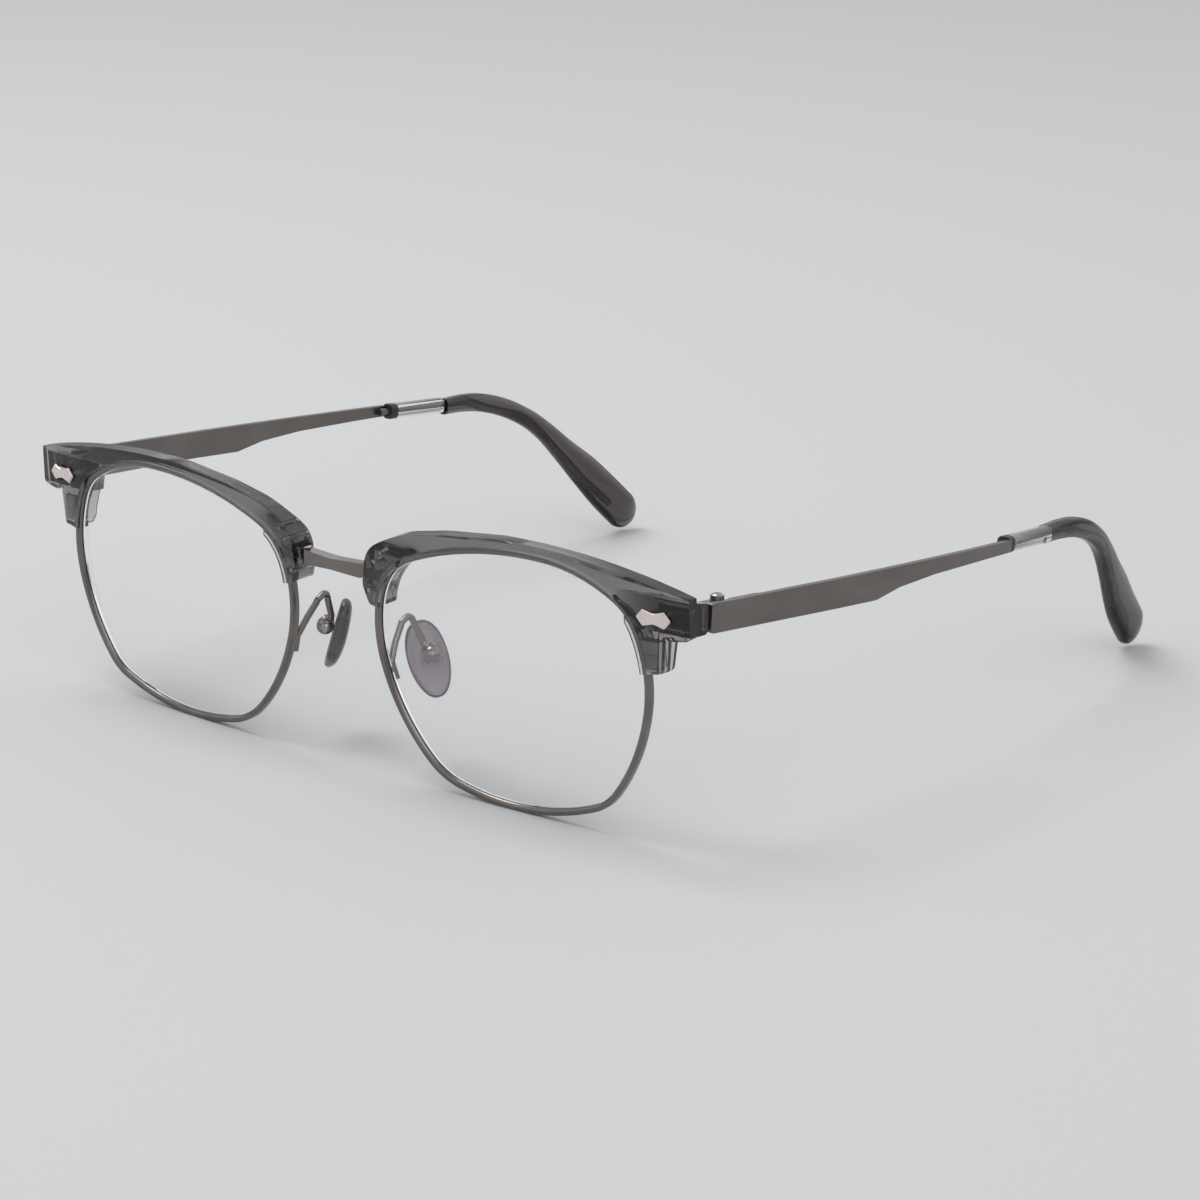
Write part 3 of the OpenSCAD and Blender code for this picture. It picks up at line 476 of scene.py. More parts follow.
class Recipe:
    """A Geometry Nodes tree built node by node, with named inputs for its sizes."""

    def __init__(self, name: str, **sizes: float) -> None:
        """Starts a tree.

        Args:
            name: Name of the tree.
            sizes: Named inputs with their values in metres.
        """
        self.tree = bpy.data.node_groups.new(name, "GeometryNodeTree")
        self.tree.is_modifier = True
        face = self.tree.interface
        face.new_socket("Geometry", in_out="OUTPUT", socket_type="NodeSocketGeometry")
        face.new_socket("Geometry", in_out="INPUT", socket_type="NodeSocketGeometry")
        self.values: dict[str, object] = {}
        for title, value in sizes.items():
            socket = face.new_socket(title.replace("_", " ").title(), in_out="INPUT", socket_type="NodeSocketFloat")
            self.values[socket.identifier] = value
        self.finish = face.new_socket("Finish", in_out="INPUT", socket_type="NodeSocketMaterial").identifier
        self.source = self.tree.nodes.new("NodeGroupInput")
        self.result = self.tree.nodes.new("NodeGroupOutput")

    def size(self, title: str) -> NodeSocket:
        """Socket of a named input."""
        return self.source.outputs[title.replace("_", " ").title()]

    def add(self, kind: str, inputs: dict[str | int, object] | None = None, **settings: object) -> Node:
        """Adds a node, sets its properties and feeds its inputs.

        Args:
            kind: Node type without the GeometryNode prefix, or a full type name.
            inputs: Socket name or number to a value or to the socket that feeds it.
            settings: Properties of the node.

        Returns:
            The new node.
        """
        node = self.tree.nodes.new(kind if kind.startswith(("Shader", "Function")) else "GeometryNode" + kind)
        for key, value in settings.items():
            setattr(node, key, value)
        for key, value in (inputs or {}).items():
            if isinstance(value, NodeSocket):
                self.tree.links.new(value, node.inputs[key])
            else:
                node.inputs[key].default_value = value
        return node

    def math(self, operation: str, first: object, second: object = 0.0) -> NodeSocket:
        """Result of a sum on two values or sockets."""
        return self.add("ShaderNodeMath", {0: first, 1: second}, operation=operation).outputs[0]

    def lift(self, geometry: NodeSocket, height: NodeSocket) -> NodeSocket:
        """The geometry moved along Z by a height."""
        move = self.add("ShaderNodeCombineXYZ", {2: height}).outputs[0]
        return self.add("Transform", {0: geometry, "Translation": move}).outputs[0]

    def close(self, geometry: NodeSocket) -> None:
        """Ends the tree in realized instances with the finish."""
        real = self.add("RealizeInstances", {0: geometry})
        done = self.add("SetMaterial", {"Geometry": real.outputs[0], "Material": self.source.outputs["Finish"]})
        self.tree.links.new(done.outputs[0], self.result.inputs[0])

    def grow(self, name: str, guide: Mesh, material: Material) -> Object:
        """Runs the tree on a guide mesh and keeps the result as a plain mesh.

        Args:
            name: Name of the new object.
            guide: Mesh with the points or the path that the tree works from.
            material: Material of the result.

        Returns:
            The new object.
        """
        obj = linked(name, guide)
        modifier = obj.modifiers.new("recipe", "NODES")
        modifier.node_group = self.tree
        for identifier, value in self.values.items():
            modifier[identifier] = value
        modifier[self.finish] = material
        return baked(obj)


def mirrored(obj: Object, name: str) -> Object:
    """A copy of a right-side piece for the left side, its faces outwards."""
    mesh = obj.data.copy()
    mesh.transform(Matrix.Diagonal((-1.0, 1.0, 1.0, 1.0)))
    mesh.flip_normals()
    return linked(name, mesh)


def settle(obj: Object, turn: Matrix) -> None:
    """Moves the mesh of a right-side piece by a matrix in millimetres, into the glasses' frame."""
    shift = Matrix.Translation((0, SHIFT_Y, 0))
    obj.data.transform(Matrix.Scale(MM, 4) @ shift @ turn @ Matrix.Scale(1 / MM, 4))


def both_sides(obj: Object, title: str, body: str, piece: str | None) -> None:
    """Enlists a right-side piece and its mirrored twin.

    Args:
        obj: The right-side piece.
        title: Name of the piece without its side.
        body: Body of the piece, with SIDE for the side's name.
        piece: CAD node that the piece stands for, without its side.
    """
    obj.name = f"right_{title}"
    for side, one in ((Side.RIGHT, obj), (Side.LEFT, mirrored(obj, f"left_{title}"))):
        enlist(one, body.replace("SIDE", side.prefix), [side.node(piece)] if piece else [])


@dataclass
class Rims:
    """The two wire rims: a bevelled, grooved section swept round the outline."""

    width: float = 1.1
    depth: float = 1.5
    spacing: float = 0.35
    section: tuple[tuple[float, float], ...] = (
        (0.0, 0.1), (0.04, 0.03), (0.13, 0.0), (0.6, 0.0), (0.67, 0.02), (0.97, 0.25), (1.0, 0.3), (1.0, 0.4),
        (0.64, 0.4), (0.64, 0.667), (1.0, 0.667), (1.0, 0.96), (0.95, 1.0), (0.13, 1.0), (0.04, 0.97), (0.0, 0.9),
    )

    def recipe(self) -> Recipe:
        """The sweep, its section given as shares of the wire's width and depth from the outer front edge on."""
        r = Recipe(
            "rim sweep", wire_width=self.width * MM, wire_depth=self.depth * MM, station_spacing=self.spacing * MM
        )
        loop = r.add("MeshToCurve", {0: r.source.outputs[0]})
        even = r.add("ResampleCurve", {"Curve": loop.outputs[0], "Length": r.size("station_spacing")}, mode="LENGTH")
        level = r.add("SetCurveNormal", {"Curve": even.outputs[0]}, mode="Z_UP")
        line = r.add("CurvePrimitiveLine")
        corners = r.add("ResampleCurve", {"Curve": line.outputs[0], "Count": len(self.section)}, mode="COUNT")
        index = r.add("InputIndex").outputs[0]
        across: object = 0.0
        deep: object = 0.0
        for k, (x, y) in enumerate(self.section):
            here = r.add("FunctionNodeCompare", {2: index, 3: k}, data_type="INT", operation="EQUAL").outputs[0]
            across = r.add("Switch", {"Switch": here, "False": across, "True": x}, input_type="FLOAT").outputs[0]
            deep = r.add("Switch", {"Switch": here, "False": deep, "True": y}, input_type="FLOAT").outputs[0]
        inwards = r.math("MULTIPLY", r.math("MULTIPLY", across, r.size("wire_width")), -1.0)
        place = r.add("ShaderNodeCombineXYZ", {0: inwards, 1: r.math("MULTIPLY", deep, r.size("wire_depth"))})
        shaped = r.add("SetPosition", {"Geometry": corners.outputs[0], "Position": place.outputs[0]})
        ring = r.add("SetSplineCyclic", {"Geometry": shaped.outputs[0], "Cyclic": True})
        swept = r.add("CurveToMesh", {"Curve": level.outputs[0], "Profile Curve": ring.outputs[0]})
        r.close(swept.outputs[0])
        return r

    def build(self) -> None:
        """Builds both rims."""
        path = [(u * MM, v * MM, 0.0) for u, v in OUTLINE.points(0.0, self.spacing)]
        guide = bpy.data.meshes.new("rim_path")
        guide.from_pydata(path, [(k, (k + 1) % len(path)) for k in range(len(path))], [])
        obj = self.recipe().grow("rim_wire", guide, dressed(GUNMETAL))
        obj.data.transform(spin(90, "X"))
        settle(obj, PLANE.matrix())
        face_out(obj.data)
        polish_mesh(obj.data, 32.0)
        both_sides(obj, "rim_wire", "front", "rim")


@dataclass
class Screws:
    """Slotted, domed screws, one recipe for the three places where they sit. Lengths are in millimetres."""

    title: str
    piece: str
    head_r: float
    head_h: float
    slot_w: float
    shank_r: float
    shank_l: float
    place: Matrix
    dome: float = 1.6

    def recipe(self) -> Recipe:
        """A turned head with a sawn slot on a plain shank, set on every guide point."""
        r = Recipe(
            "slotted screw", head_radius=self.head_r * MM, head_height=self.head_h * MM, slot_width=self.slot_w * MM,
            shank_radius=self.shank_r * MM, shank_length=self.shank_l * MM,
        )
        radius, height = r.size("head_radius"), r.size("head_height")
        ball_radius = r.math("MULTIPLY", radius, self.dome)
        ball = r.add("MeshUVSphere", {"Segments": 64, "Rings": 48, "Radius": ball_radius})
        barrel = r.add("MeshCylinder", {"Vertices": 64, "Radius": radius, "Depth": height})
        head = r.add("MeshBoolean", operation="INTERSECT", solver="EXACT")
        r.tree.links.new(r.lift(ball.outputs[0], r.math("SUBTRACT", height, ball_radius)), head.inputs["Mesh 2"])
        r.tree.links.new(r.lift(barrel.outputs["Mesh"], r.math("MULTIPLY", height, 0.5)), head.inputs["Mesh 2"])
        block = r.add("ShaderNodeCombineXYZ", {0: r.math("MULTIPLY", radius, 3.0), 1: r.size("slot_width"), 2: height})
        saw = r.add("MeshCube", {"Size": block.outputs[0]})
        both = {"Mesh 1": head.outputs["Mesh"], "Mesh 2": r.lift(saw.outputs["Mesh"], height)}
        cut = r.add("MeshBoolean", both, operation="DIFFERENCE", solver="EXACT")
        length = r.size("shank_length")
        shank = r.add("MeshCylinder", {"Vertices": 48, "Radius": r.size("shank_radius"), "Depth": length})
        whole = r.add("JoinGeometry")
        r.tree.links.new(cut.outputs["Mesh"], whole.inputs[0])
        r.tree.links.new(r.lift(shank.outputs["Mesh"], r.math("MULTIPLY", length, -0.5)), whole.inputs[0])
        points = r.add("MeshToPoints", {0: r.source.outputs[0]})
        each = r.add("InstanceOnPoints", {"Points": points.outputs[0], "Instance": whole.outputs[0]})
        r.close(each.outputs[0])
        return r

    def build(self) -> None:
        """Builds the screw on both sides."""
        guide = bpy.data.meshes.new("screw_place")
        guide.from_pydata([(0.0, 0.0, 0.0)], [], [])
        obj = self.recipe().grow(self.title, guide, dressed(SCREW_METAL))
        settle(obj, self.place)
        polish_mesh(obj.data, 35.0)
        both_sides(obj, self.title, "front", self.piece)


@dataclass
class Lenses:
    """The two clear lenses, shallow domes with a thin tongue in the rim groove."""

    thickness: float = 1.0
    curve: float = 1000.0
    set_back: float = 0.35
    rim_width: float = 1.15
    tongue_inset: float = 0.75
    tongue: tuple[float, float] = (0.65, 0.95)
    spacing: float = 0.9
    rows: int = 14

    def depth_at(self, u: float, v: float, behind: float) -> float:
        """Depth of a dome surface that starts behind the rim front by that much."""
        return behind + self.curve - math.sqrt(self.curve**2 - u * u - v * v)

    def build(self) -> None:
        """Builds both lenses."""
        edge = OUTLINE.points(self.rim_width, self.spacing)
        tip = OUTLINE.points(self.tongue_inset, self.spacing)
        shares = [i / self.rows for i in range(1, self.rows + 1)]
        front, back = self.set_back, self.set_back + self.thickness
        for side in Side:
            faces = [
                [[PLANE.at(side, u * k, self.depth_at(u * k, v * k, behind), v * k) for u, v in edge] for k in shares]
                for behind in (front, back)
            ]
            faces[0][-1] = [PLANE.at(side, u, min(self.depth_at(u, v, front), self.tongue[0]), v) for u, v in edge]
            steps = ((tip, self.tongue[0]), (tip, self.tongue[1]), (edge, self.tongue[1]))
            rings = faces[0] + [[PLANE.at(side, u, w, v) for u, v in line] for line, w in steps] + faces[1][::-1]
            obj = skin(f"{side.prefix}_lens_glass", rings, dressed(LENS_CLEAR))
            enlist(obj, "front", [side.node("lens")])


def ease_in(k: float) -> float:
    """Smooth step of a share, held between 0 and 1."""
    k = min(max(k, 0.0), 1.0)
    return k * k * (3 - 2 * k)


@dataclass
class Brows:
    """The two acetate brow pieces with polished edges, a deeper nose lug and a clear wall on the temple lug."""

    ease: float = 0.11
    rear_from: float = 1.7
    deeper: float = 2.0
    nose_v: tuple[float, float] = (22.5, 15.5)
    nose_u: tuple[float, float] = (-15.0, -21.0)
    reach: float = 4.0
    slices: int = 14
    wall_u: float = 20.5
    wall_v: tuple[float, float, float] = (9.15, 15.5, 20.5)
    wall_from: float = 1.6
    wall_back: float = 4.3
    wall_thins: float = 1.9
    wall_inset: float = 0.55
    wall_half: float = 0.53
    wall_round: float = 0.35

    def reshape(self, side: Side, work: BMesh) -> None:
        """Moves the rear wall of the nose lug back, slice by slice.

        Args:
            side: Half of the glasses that the mesh belongs to.
            work: Merged copy of the CAD brow, in metres.
        """
        mirror = Matrix.Diagonal((side.value, 1.0, 1.0, 1.0))
        to_world = mirror @ Matrix.Scale(MM, 4) @ Matrix.Translation((0, SHIFT_Y, 0)) @ PLANE.matrix()
        bmesh.ops.transform(work, matrix=to_world.inverted(), verts=work.verts)
        for axis, (low, high) in ((Vector((0, 0, 1)), self.nose_v), (Vector((1, 0, 0)), self.nose_u)):
            for k in range(self.slices + 1):
                faces = [f for f in work.faces if f.calc_center_median().x < self.nose_u[0] + self.reach]
                edges = {e for f in faces for e in f.edges}
                verts = {v for f in faces for v in f.verts}
                place = axis * (low + (high - low) * k / self.slices)
                bmesh.ops.bisect_plane(work, geom=[*verts, *edges, *faces], dist=1e-4, plane_co=place, plane_no=axis)
        for vert in work.verts:
            u, w, v = vert.co
            if w > self.rear_from:
                down = ease_in((self.nose_v[0] - v) / (self.nose_v[0] - self.nose_v[1]))
                out = ease_in((self.nose_u[0] - u) / (self.nose_u[0] - self.nose_u[1]))
                vert.co.y += self.deeper * down * out
        bmesh.ops.transform(work, matrix=to_world, verts=work.verts)

    def rear_wall(self, side: Side) -> Object:
        """The clear wall of the temple lug behind the rim, from its foot up into the brow."""
        low, thin, high = self.wall_v
        line = [p for p in OUTLINE.points(0.0, 0.4) if p[0] > self.wall_u and low < p[1] < high]
        rings = []
        for k, (u, v) in enumerate(line):
            along = (Vector(line[min(k + 1, len(line) - 1)]) - Vector(line[max(k - 1, 0)])).normalized()
            foot = 1.0 - 0.3 * (1.0 - ease_in(k / 3))
            back = self.wall_back - self.wall_thins * ease_in((v - thin) / (high - thin))
            middle, half = (self.wall_from + back) / 2, (back - self.wall_from) / 2 * foot
            ring = []
            for c, t in round_steps(24):
                inset = self.wall_inset + squared(c, self.wall_round) * self.wall_half * foot
                depth = middle + squared(t, self.wall_round) * half
                ring.append(PLANE.at(side, u - along.y * inset, depth, v + along.x * inset))
            rings.append(ring)
        return skin(f"{side.prefix}_brow_rear_wall", rings, dressed(BROW_ACETATE))

    def build(self) -> None:
        """Builds both brow pieces."""
        for side in Side:
            title, reshape = f"{side.prefix}_brow_acetate", partial(self.reshape, side)
            obj = eased_copy(title, side.node("brow"), dressed(BROW_ACETATE), self.ease * MM, reshape=reshape)
            enlist(obj, "front", [side.node("brow")])
            enlist(self.rear_wall(side), "front", [])


@dataclass
class Eased:
    """Small metal pieces that take the CAD shape with softened edges."""

    piece: str
    title: str
    finish: MetalFinish | SolidFinish | SheerFinish
    slot: str
    body: str
    ease: float = 0.06
    steps: int = 2

    def build(self) -> None:
        """Builds the piece on both sides."""
        for side in Side:
            node, look = side.node(self.piece), dressed(self.finish)
            obj = eased_copy(f"{side.prefix}_{self.title}", node, look, self.ease * MM, self.steps)
            enlist(obj, self.body.replace("SIDE", side.prefix), [node])


@dataclass(frozen=True)
class PadPlane:
    """The place of the right nose pad's screw and the three turns of the pad about it."""

    at: Point = (11.95, 8.2, 18.9)
    splay: float = -14.8
    nod: float = -6.4
    toe: float = -39.7

    def matrix(self) -> Matrix:
        """Place and turn of the right pad, in millimetres."""
        return Matrix.Translation(self.at) @ spin(self.splay, "Y") @ spin(self.nod, "X") @ spin(self.toe, "Z")


PAD = PadPlane()


def rounded_path(points: Sequence[Vector], bends: Sequence[float], step_deg: float = 6.0) -> list[Vector]:
    """A path through corners, each replaced by an arc of its own radius.

    Args:
        points: Ends and corners of the path.
        bends: Bend radius at each corner between the ends.
        step_deg: Largest turn between two points of an arc.

    Returns:
        The points of the path.
    """
    path = [points[0]]
    for before, here, after, bend in zip(points, points[1:], points[2:], bends):
        back, on = (before - here).normalized(), (after - here).normalized()
        turn = math.pi - back.angle(on)
        reach = min(bend * math.tan(turn / 2), 0.49 * (before - here).length, 0.49 * (after - here).length)
        radius = reach / math.tan(turn / 2)
        middle = here + (back + on).normalized() * (radius / math.cos(turn / 2))
        start, end = here + back * reach - middle, here + on * reach - middle
        count = max(2, math.ceil(math.degrees(turn) / step_deg))
        for k in range(count + 1):
            path.append(middle + start.slerp(end, k / count))
    path.append(points[-1])
    return path


@dataclass
class PadWires:
    """The pad arms: a round wire bent to a loop, a foot along the rim and a ball that holds the pad."""

    wire: float = 1.1
    corners: tuple[Point, ...] = (
        (11.55, 0.5, 16.5), (10.65, 0.15, 19.4), (9.95, 2.0, 21.35), (9.45, 3.05, 25.3), (9.35, 6.3, 26.4),
        (10.6, 7.75, 20.9), (11.5, 8.0, 19.4),
    )
    bends: tuple[float, ...] = (1.0, 1.5, 1.7, 1.7, 0.8)
    ball: tuple[tuple[float, float], ...] = (
        (0.42, -1.54), (0.8, -1.38), (1.1, -1.14), (1.32, -0.82), (1.44, -0.46), (1.48, -0.05), (1.44, 0.36),
        (1.33, 0.72), (1.14, 1.02), (0.94, 1.22), (0.86, 1.34), (0.9, 1.42), (0.98, 1.5), (0.98, 1.64), (0.9, 1.74),
        (0.72, 1.8),
    )
    ball_out: float = 0.14
    slot: Point = (3.95, 1.1, 4.2)
    slot_end: tuple[float, float] = (0.95, 1.01)

    def recipe(self) -> Recipe:
        """A round wire swept along the guide path."""
        r = Recipe("pad wire", wire_diameter=self.wire * MM)
        path = r.add("MeshToCurve", {0: r.source.outputs[0]})
        radius = r.math("MULTIPLY", r.size("wire_diameter"), 0.5)
        ring = r.add("CurvePrimitiveCircle", {"Resolution": 28, "Radius": radius}).outputs[0]
        r.close(r.add("CurveToMesh", {"Curve": path.outputs[0], "Profile Curve": ring, "Fill Caps": True}).outputs[0])
        return r

    def ball_mesh(self) -> Object:
        """The turned ball with its collar, sawn open for the tongue of the pad."""
        rings = [[Vector((r * c, r * s, z)) for c, s in round_steps(56)] for r, z in self.ball]
        ball = skin("pad_ball", rings, dressed(POLISHED_METAL))
        wire_end = PAD.matrix().inverted() @ Vector(self.corners[-2]) - Vector((self.ball_out, 0, 0))
        ball.data.transform(Vector((0, 0, 1)).rotation_difference(wire_end).to_matrix().to_4x4())
        saw = bpy.data.meshes.new("pad_saw")
        (length, _, high), (end, top) = self.slot, self.slot_end
        with edited(saw) as work:
            bmesh.ops.create_cube(work, size=1.0)
            bmesh.ops.scale(work, vec=self.slot, verts=work.verts)
            bmesh.ops.translate(work, vec=(end - self.ball_out - length / 2, 0, top - high / 2), verts=work.verts)
        tool = placed("pad_saw", saw, dressed(POLISHED_METAL))
        cut = ball.modifiers.new("slot", "BOOLEAN")
        cut.operation = "DIFFERENCE"
        cut.solver = "EXACT"
        cut.object = tool
        baked(ball)
        bpy.data.objects.remove(tool)
        ball.data.transform(Matrix.Scale(MM, 4) @ PAD.matrix() @ Matrix.Translation((self.ball_out, 0, 0)))
        return ball

    def build(self) -> None:
        """Builds both pad arms."""
        path = rounded_path([Vector(p) for p in self.corners], self.bends)
        guide = bpy.data.meshes.new("pad_wire_path")
        guide.from_pydata([p * MM for p in path], [(k, k + 1) for k in range(len(path) - 1)], [])
        wire = self.recipe().grow("pad_wire", guide, dressed(POLISHED_METAL))
        ball = self.ball_mesh()
        with edited(wire.data) as work:
            work.from_mesh(ball.data)
        bpy.data.objects.remove(ball)
        settle(wire, Matrix.Identity(4))
        polish_mesh(wire.data, 38.0)
        both_sides(wire, "pad_wire", "front", "pad_arm")


@dataclass
class PadShells:
    """The nose pads: a domed, full-round shell with a raised border and a round boss behind."""

    width: float = 6.8
    height: float = 12.9
    thick: float = 2.5
    set_off: float = 1.3
    dome: float = 26.0
    slant: float = 9.5
    middle: tuple[float, float] = (-0.35, -0.7)
    border: float = 0.7
    raised: float = 0.42
    boss: tuple[float, float, float] = (1.95, 0.1, -0.35)
    boss_rows: tuple[tuple[float, float], ...] = (
        (0.15, 0.16), (0.9, 0.17), (1.35, 0.2), (1.55, 0.27), (1.72, 0.29), (1.86, 0.25), (1.93, 0.14), (1.97, 0.03),
        (2.06, 0.0),
    )
    border_rows: tuple[tuple[float, float], ...] = ((0.6, 0.02), (0.45, 0.09), (0.3, 0.2), (0.15, 0.29), (0.0, 0.42))
    bore: float = 0.47
    tongue_half: float = 0.45
    tongue_up: float = 0.74
    square: float = 0.86
    around: int = 120

    def outline(self) -> list[Vector]:
        """Egg-shaped outline of the pad, broad above and narrow below, slanted in its own plane."""
        points = []
        for c, s in round_steps(self.around):
            up = squared(s, self.square)
            across = squared(c, self.square) * (1.0 - 0.15 * max(0.0, -up) ** 1.4 - 0.03 * max(0.0, up) ** 2)
            points.append(Vector((across * self.width / 2, up * self.height / 2)))
        turn = Matrix.Rotation(math.radians(self.slant), 2)
        return [turn @ p for p in points]

    def inset(self, line: Sequence[Vector], by: float) -> list[Vector]:
        """The outline moved inwards by a distance."""
        found = []
        for k, p in enumerate(line):
            along = (line[(k + 1) % len(line)] - line[k - 1]).normalized()
            found.append(p + Vector((-along.y, along.x)) * by)
        return found

    def face_at(self, p: Vector) -> float:
        """Depth of the domed side that bears on the nose."""
        return -self.set_off - self.thick + self.dome - math.sqrt(self.dome**2 - p.x**2 - p.y**2)

    def shell(self) -> Object:
        """The pad itself."""
        line = self.outline()
        shift = Vector(self.middle)
        rows: list[list[Vector]] = []

        def row(points: Sequence[Vector], depths: Sequence[float]) -> None:
            rows.append([Vector((x, p.x + shift.x, p.y + shift.y)) for p, x in zip(points, depths)])

        rear, floor = -self.set_off, -self.set_off - self.raised
        waist = [rear - 0.46 * (rear - self.face_at(p)) for p in line]
        centre, radius = Vector(self.boss[1:]) - shift, self.boss[0]
        circle = [Vector(step) for step in round_steps(self.around)]
        for r, x in self.boss_rows:
            row([centre + c * (radius * r / 2.0) for c in circle], [floor + x] * self.around)
        start = [centre + c * (radius * 1.05) for c in circle]
        goal = self.inset(line, self.border + 0.75)
        for k in (0.35, 0.7, 1.0):
            row([a.lerp(b, k) for a, b in zip(start, goal)], [floor] * self.around)
        for by, x in self.border_rows:
            row(self.inset(line, self.border + by), [floor + x] * self.around)
        for k in (0.75, 0.5, 0.3, 0.15, 0.05, 0.0):
            rise = math.sqrt(1 - (1 - k) ** 2)
            row(self.inset(line, self.border * k), [w + (rear - w) * rise for w in waist])
        for k in (0.04, 0.12, 0.25, 0.42, 0.62, 0.82, 1.0):
            points = self.inset(line, 1.5 * k)
            rise = math.sqrt(1 - (1 - k) ** 2)
            row(points, [w + (self.face_at(p) - w) * rise for w, p in zip(waist, points)])
        inner = self.inset(line, 1.5)
        for k in (0.8, 0.6, 0.4, 0.2, 0.05):
            points = [p * k for p in inner]
            row(points, [self.face_at(p) for p in points])
        return skin("pad_shell", rows, dressed(PAD_PLASTIC))

    def tongue(self) -> Object:
        """The drilled tongue that the screw holds."""
        half, reach = self.tongue_half, self.set_off + 0.25
        outer, inner = [], []
        for c, s in round_steps(48):
            r = self.tongue_up if c > -1e-6 else min(self.tongue_up / max(abs(s), 1e-6), reach / abs(c))
            outer.append((r * c, r * s))
            inner.append((self.bore * c, self.bore * s))
        rings = [
            [Vector((x, y, z)) for x, z in line]
            for line, y in ((outer, -half), (outer, half), (inner, half), (inner, -half))
        ]
        return skin("pad_tongue", rings, dressed(PAD_PLASTIC), closed=True)

    def build(self) -> None:
        """Builds both pads and their tongues."""
        for title, obj, piece in (("pad_shell", self.shell(), "nose_pad"), ("pad_tongue", self.tongue(), None)):
            obj.data.transform(Matrix.Scale(MM, 4))
            settle(obj, PAD.matrix())
            face_out(obj.data)
            polish_mesh(obj.data, 60.0)
            both_sides(obj, title, "SIDE_pad", piece)


@dataclass
class Tips:
    """The curved acetate tips, lofted along the ear bend to a flattened round end."""

    pivot: Point = (68.3, 10.0, 36.9)
    pitch: float = 4.2
    thick: float = 2.7
    end_thick: float = 3.5
    run: float = 55.85
    end_height: float = 7.4
    rows: int = 110
    around: int = 40
    square: tuple[float, float] = (0.75, 0.85)
    side_view: tuple[tuple[float, float, float, float], ...] = (
        (0, 88, 0.72, 3.05), (5, 93, 0.95, 3.35), (10, 98, 0.6, 3.55), (16, 103.7, -0.8, 3.6),
        (22, 109.1, -3.2, 3.6), (27, 113.2, -6, 3.9), (33, 117.7, -10, 4.9), (39.5, 122.6, -14.4, 6.6),
        (46, 127.4, -18.9, 7.4), (58, 136.2, -26.3, 7.4),
    )
    plan: tuple[tuple[float, float], ...] = (
        (87, 1.3), (97, 0.75), (106, -0.65), (115, -2.9), (126, -6), (134, -7.5), (140, -8.3),
    )

    def column(self, t: float, index: int) -> float:
        """Smooth value of one column of the side view."""
        return smooth_at(t, [(row[0], row[index]) for row in self.side_view])

    def place(self, side: Side, x: float, y: float, z: float) -> Vector:
        """World place of a point of the temple's own frame."""
        return side.world(Matrix.Translation(self.pivot) @ spin(-self.pitch, "X") @ Vector((x, y, z)))

    def ring(self, side: Side, t: float) -> list[Vector]:
        """One ring of points round the tip at distance t along it."""
        y, z = self.column(t, 1), self.column(t, 2)
        dy, dz = (self.column(t + 0.05, index) - self.column(t - 0.05, index) for index in (1, 2))
        size = math.hypot(dy, dz)
        dy, dz = dy / size, dz / size
        radius = self.end_height / 2
        left_over = self.run - t
        close = 1.0 if left_over > radius else math.sqrt(max(1 - (1 - left_over / radius) ** 2, 0.004))
        height = self.column(t, 3) / 2 * close
        thick = (self.thick + (self.end_thick - self.thick) * min(1.0, t / 45)) / 2
        x = smooth_at(y, self.plan) - thick
        width = thick * (0.25 + 0.75 * close)
        points = []
        for c, s in round_steps(self.around):
            across, up = squared(c, self.square[0]) * width, squared(s, self.square[1]) * height
            points.append(self.place(side, x + across, y - dz * up, z + dy * up))
        return points

    def build(self) -> None:
        """Builds both tips."""
        stations = [self.run * i / self.rows for i in range(self.rows)]
        stations += [self.run - 0.25, self.run - 0.1, self.run]
        for side in Side:
            obj = skin(f"{side.prefix}_tip_acetate", [self.ring(side, t) for t in stations], dressed(TIP_ACETATE))
            enlist(obj, f"{side.prefix}_arm", [side.node("tip")])


# Studio


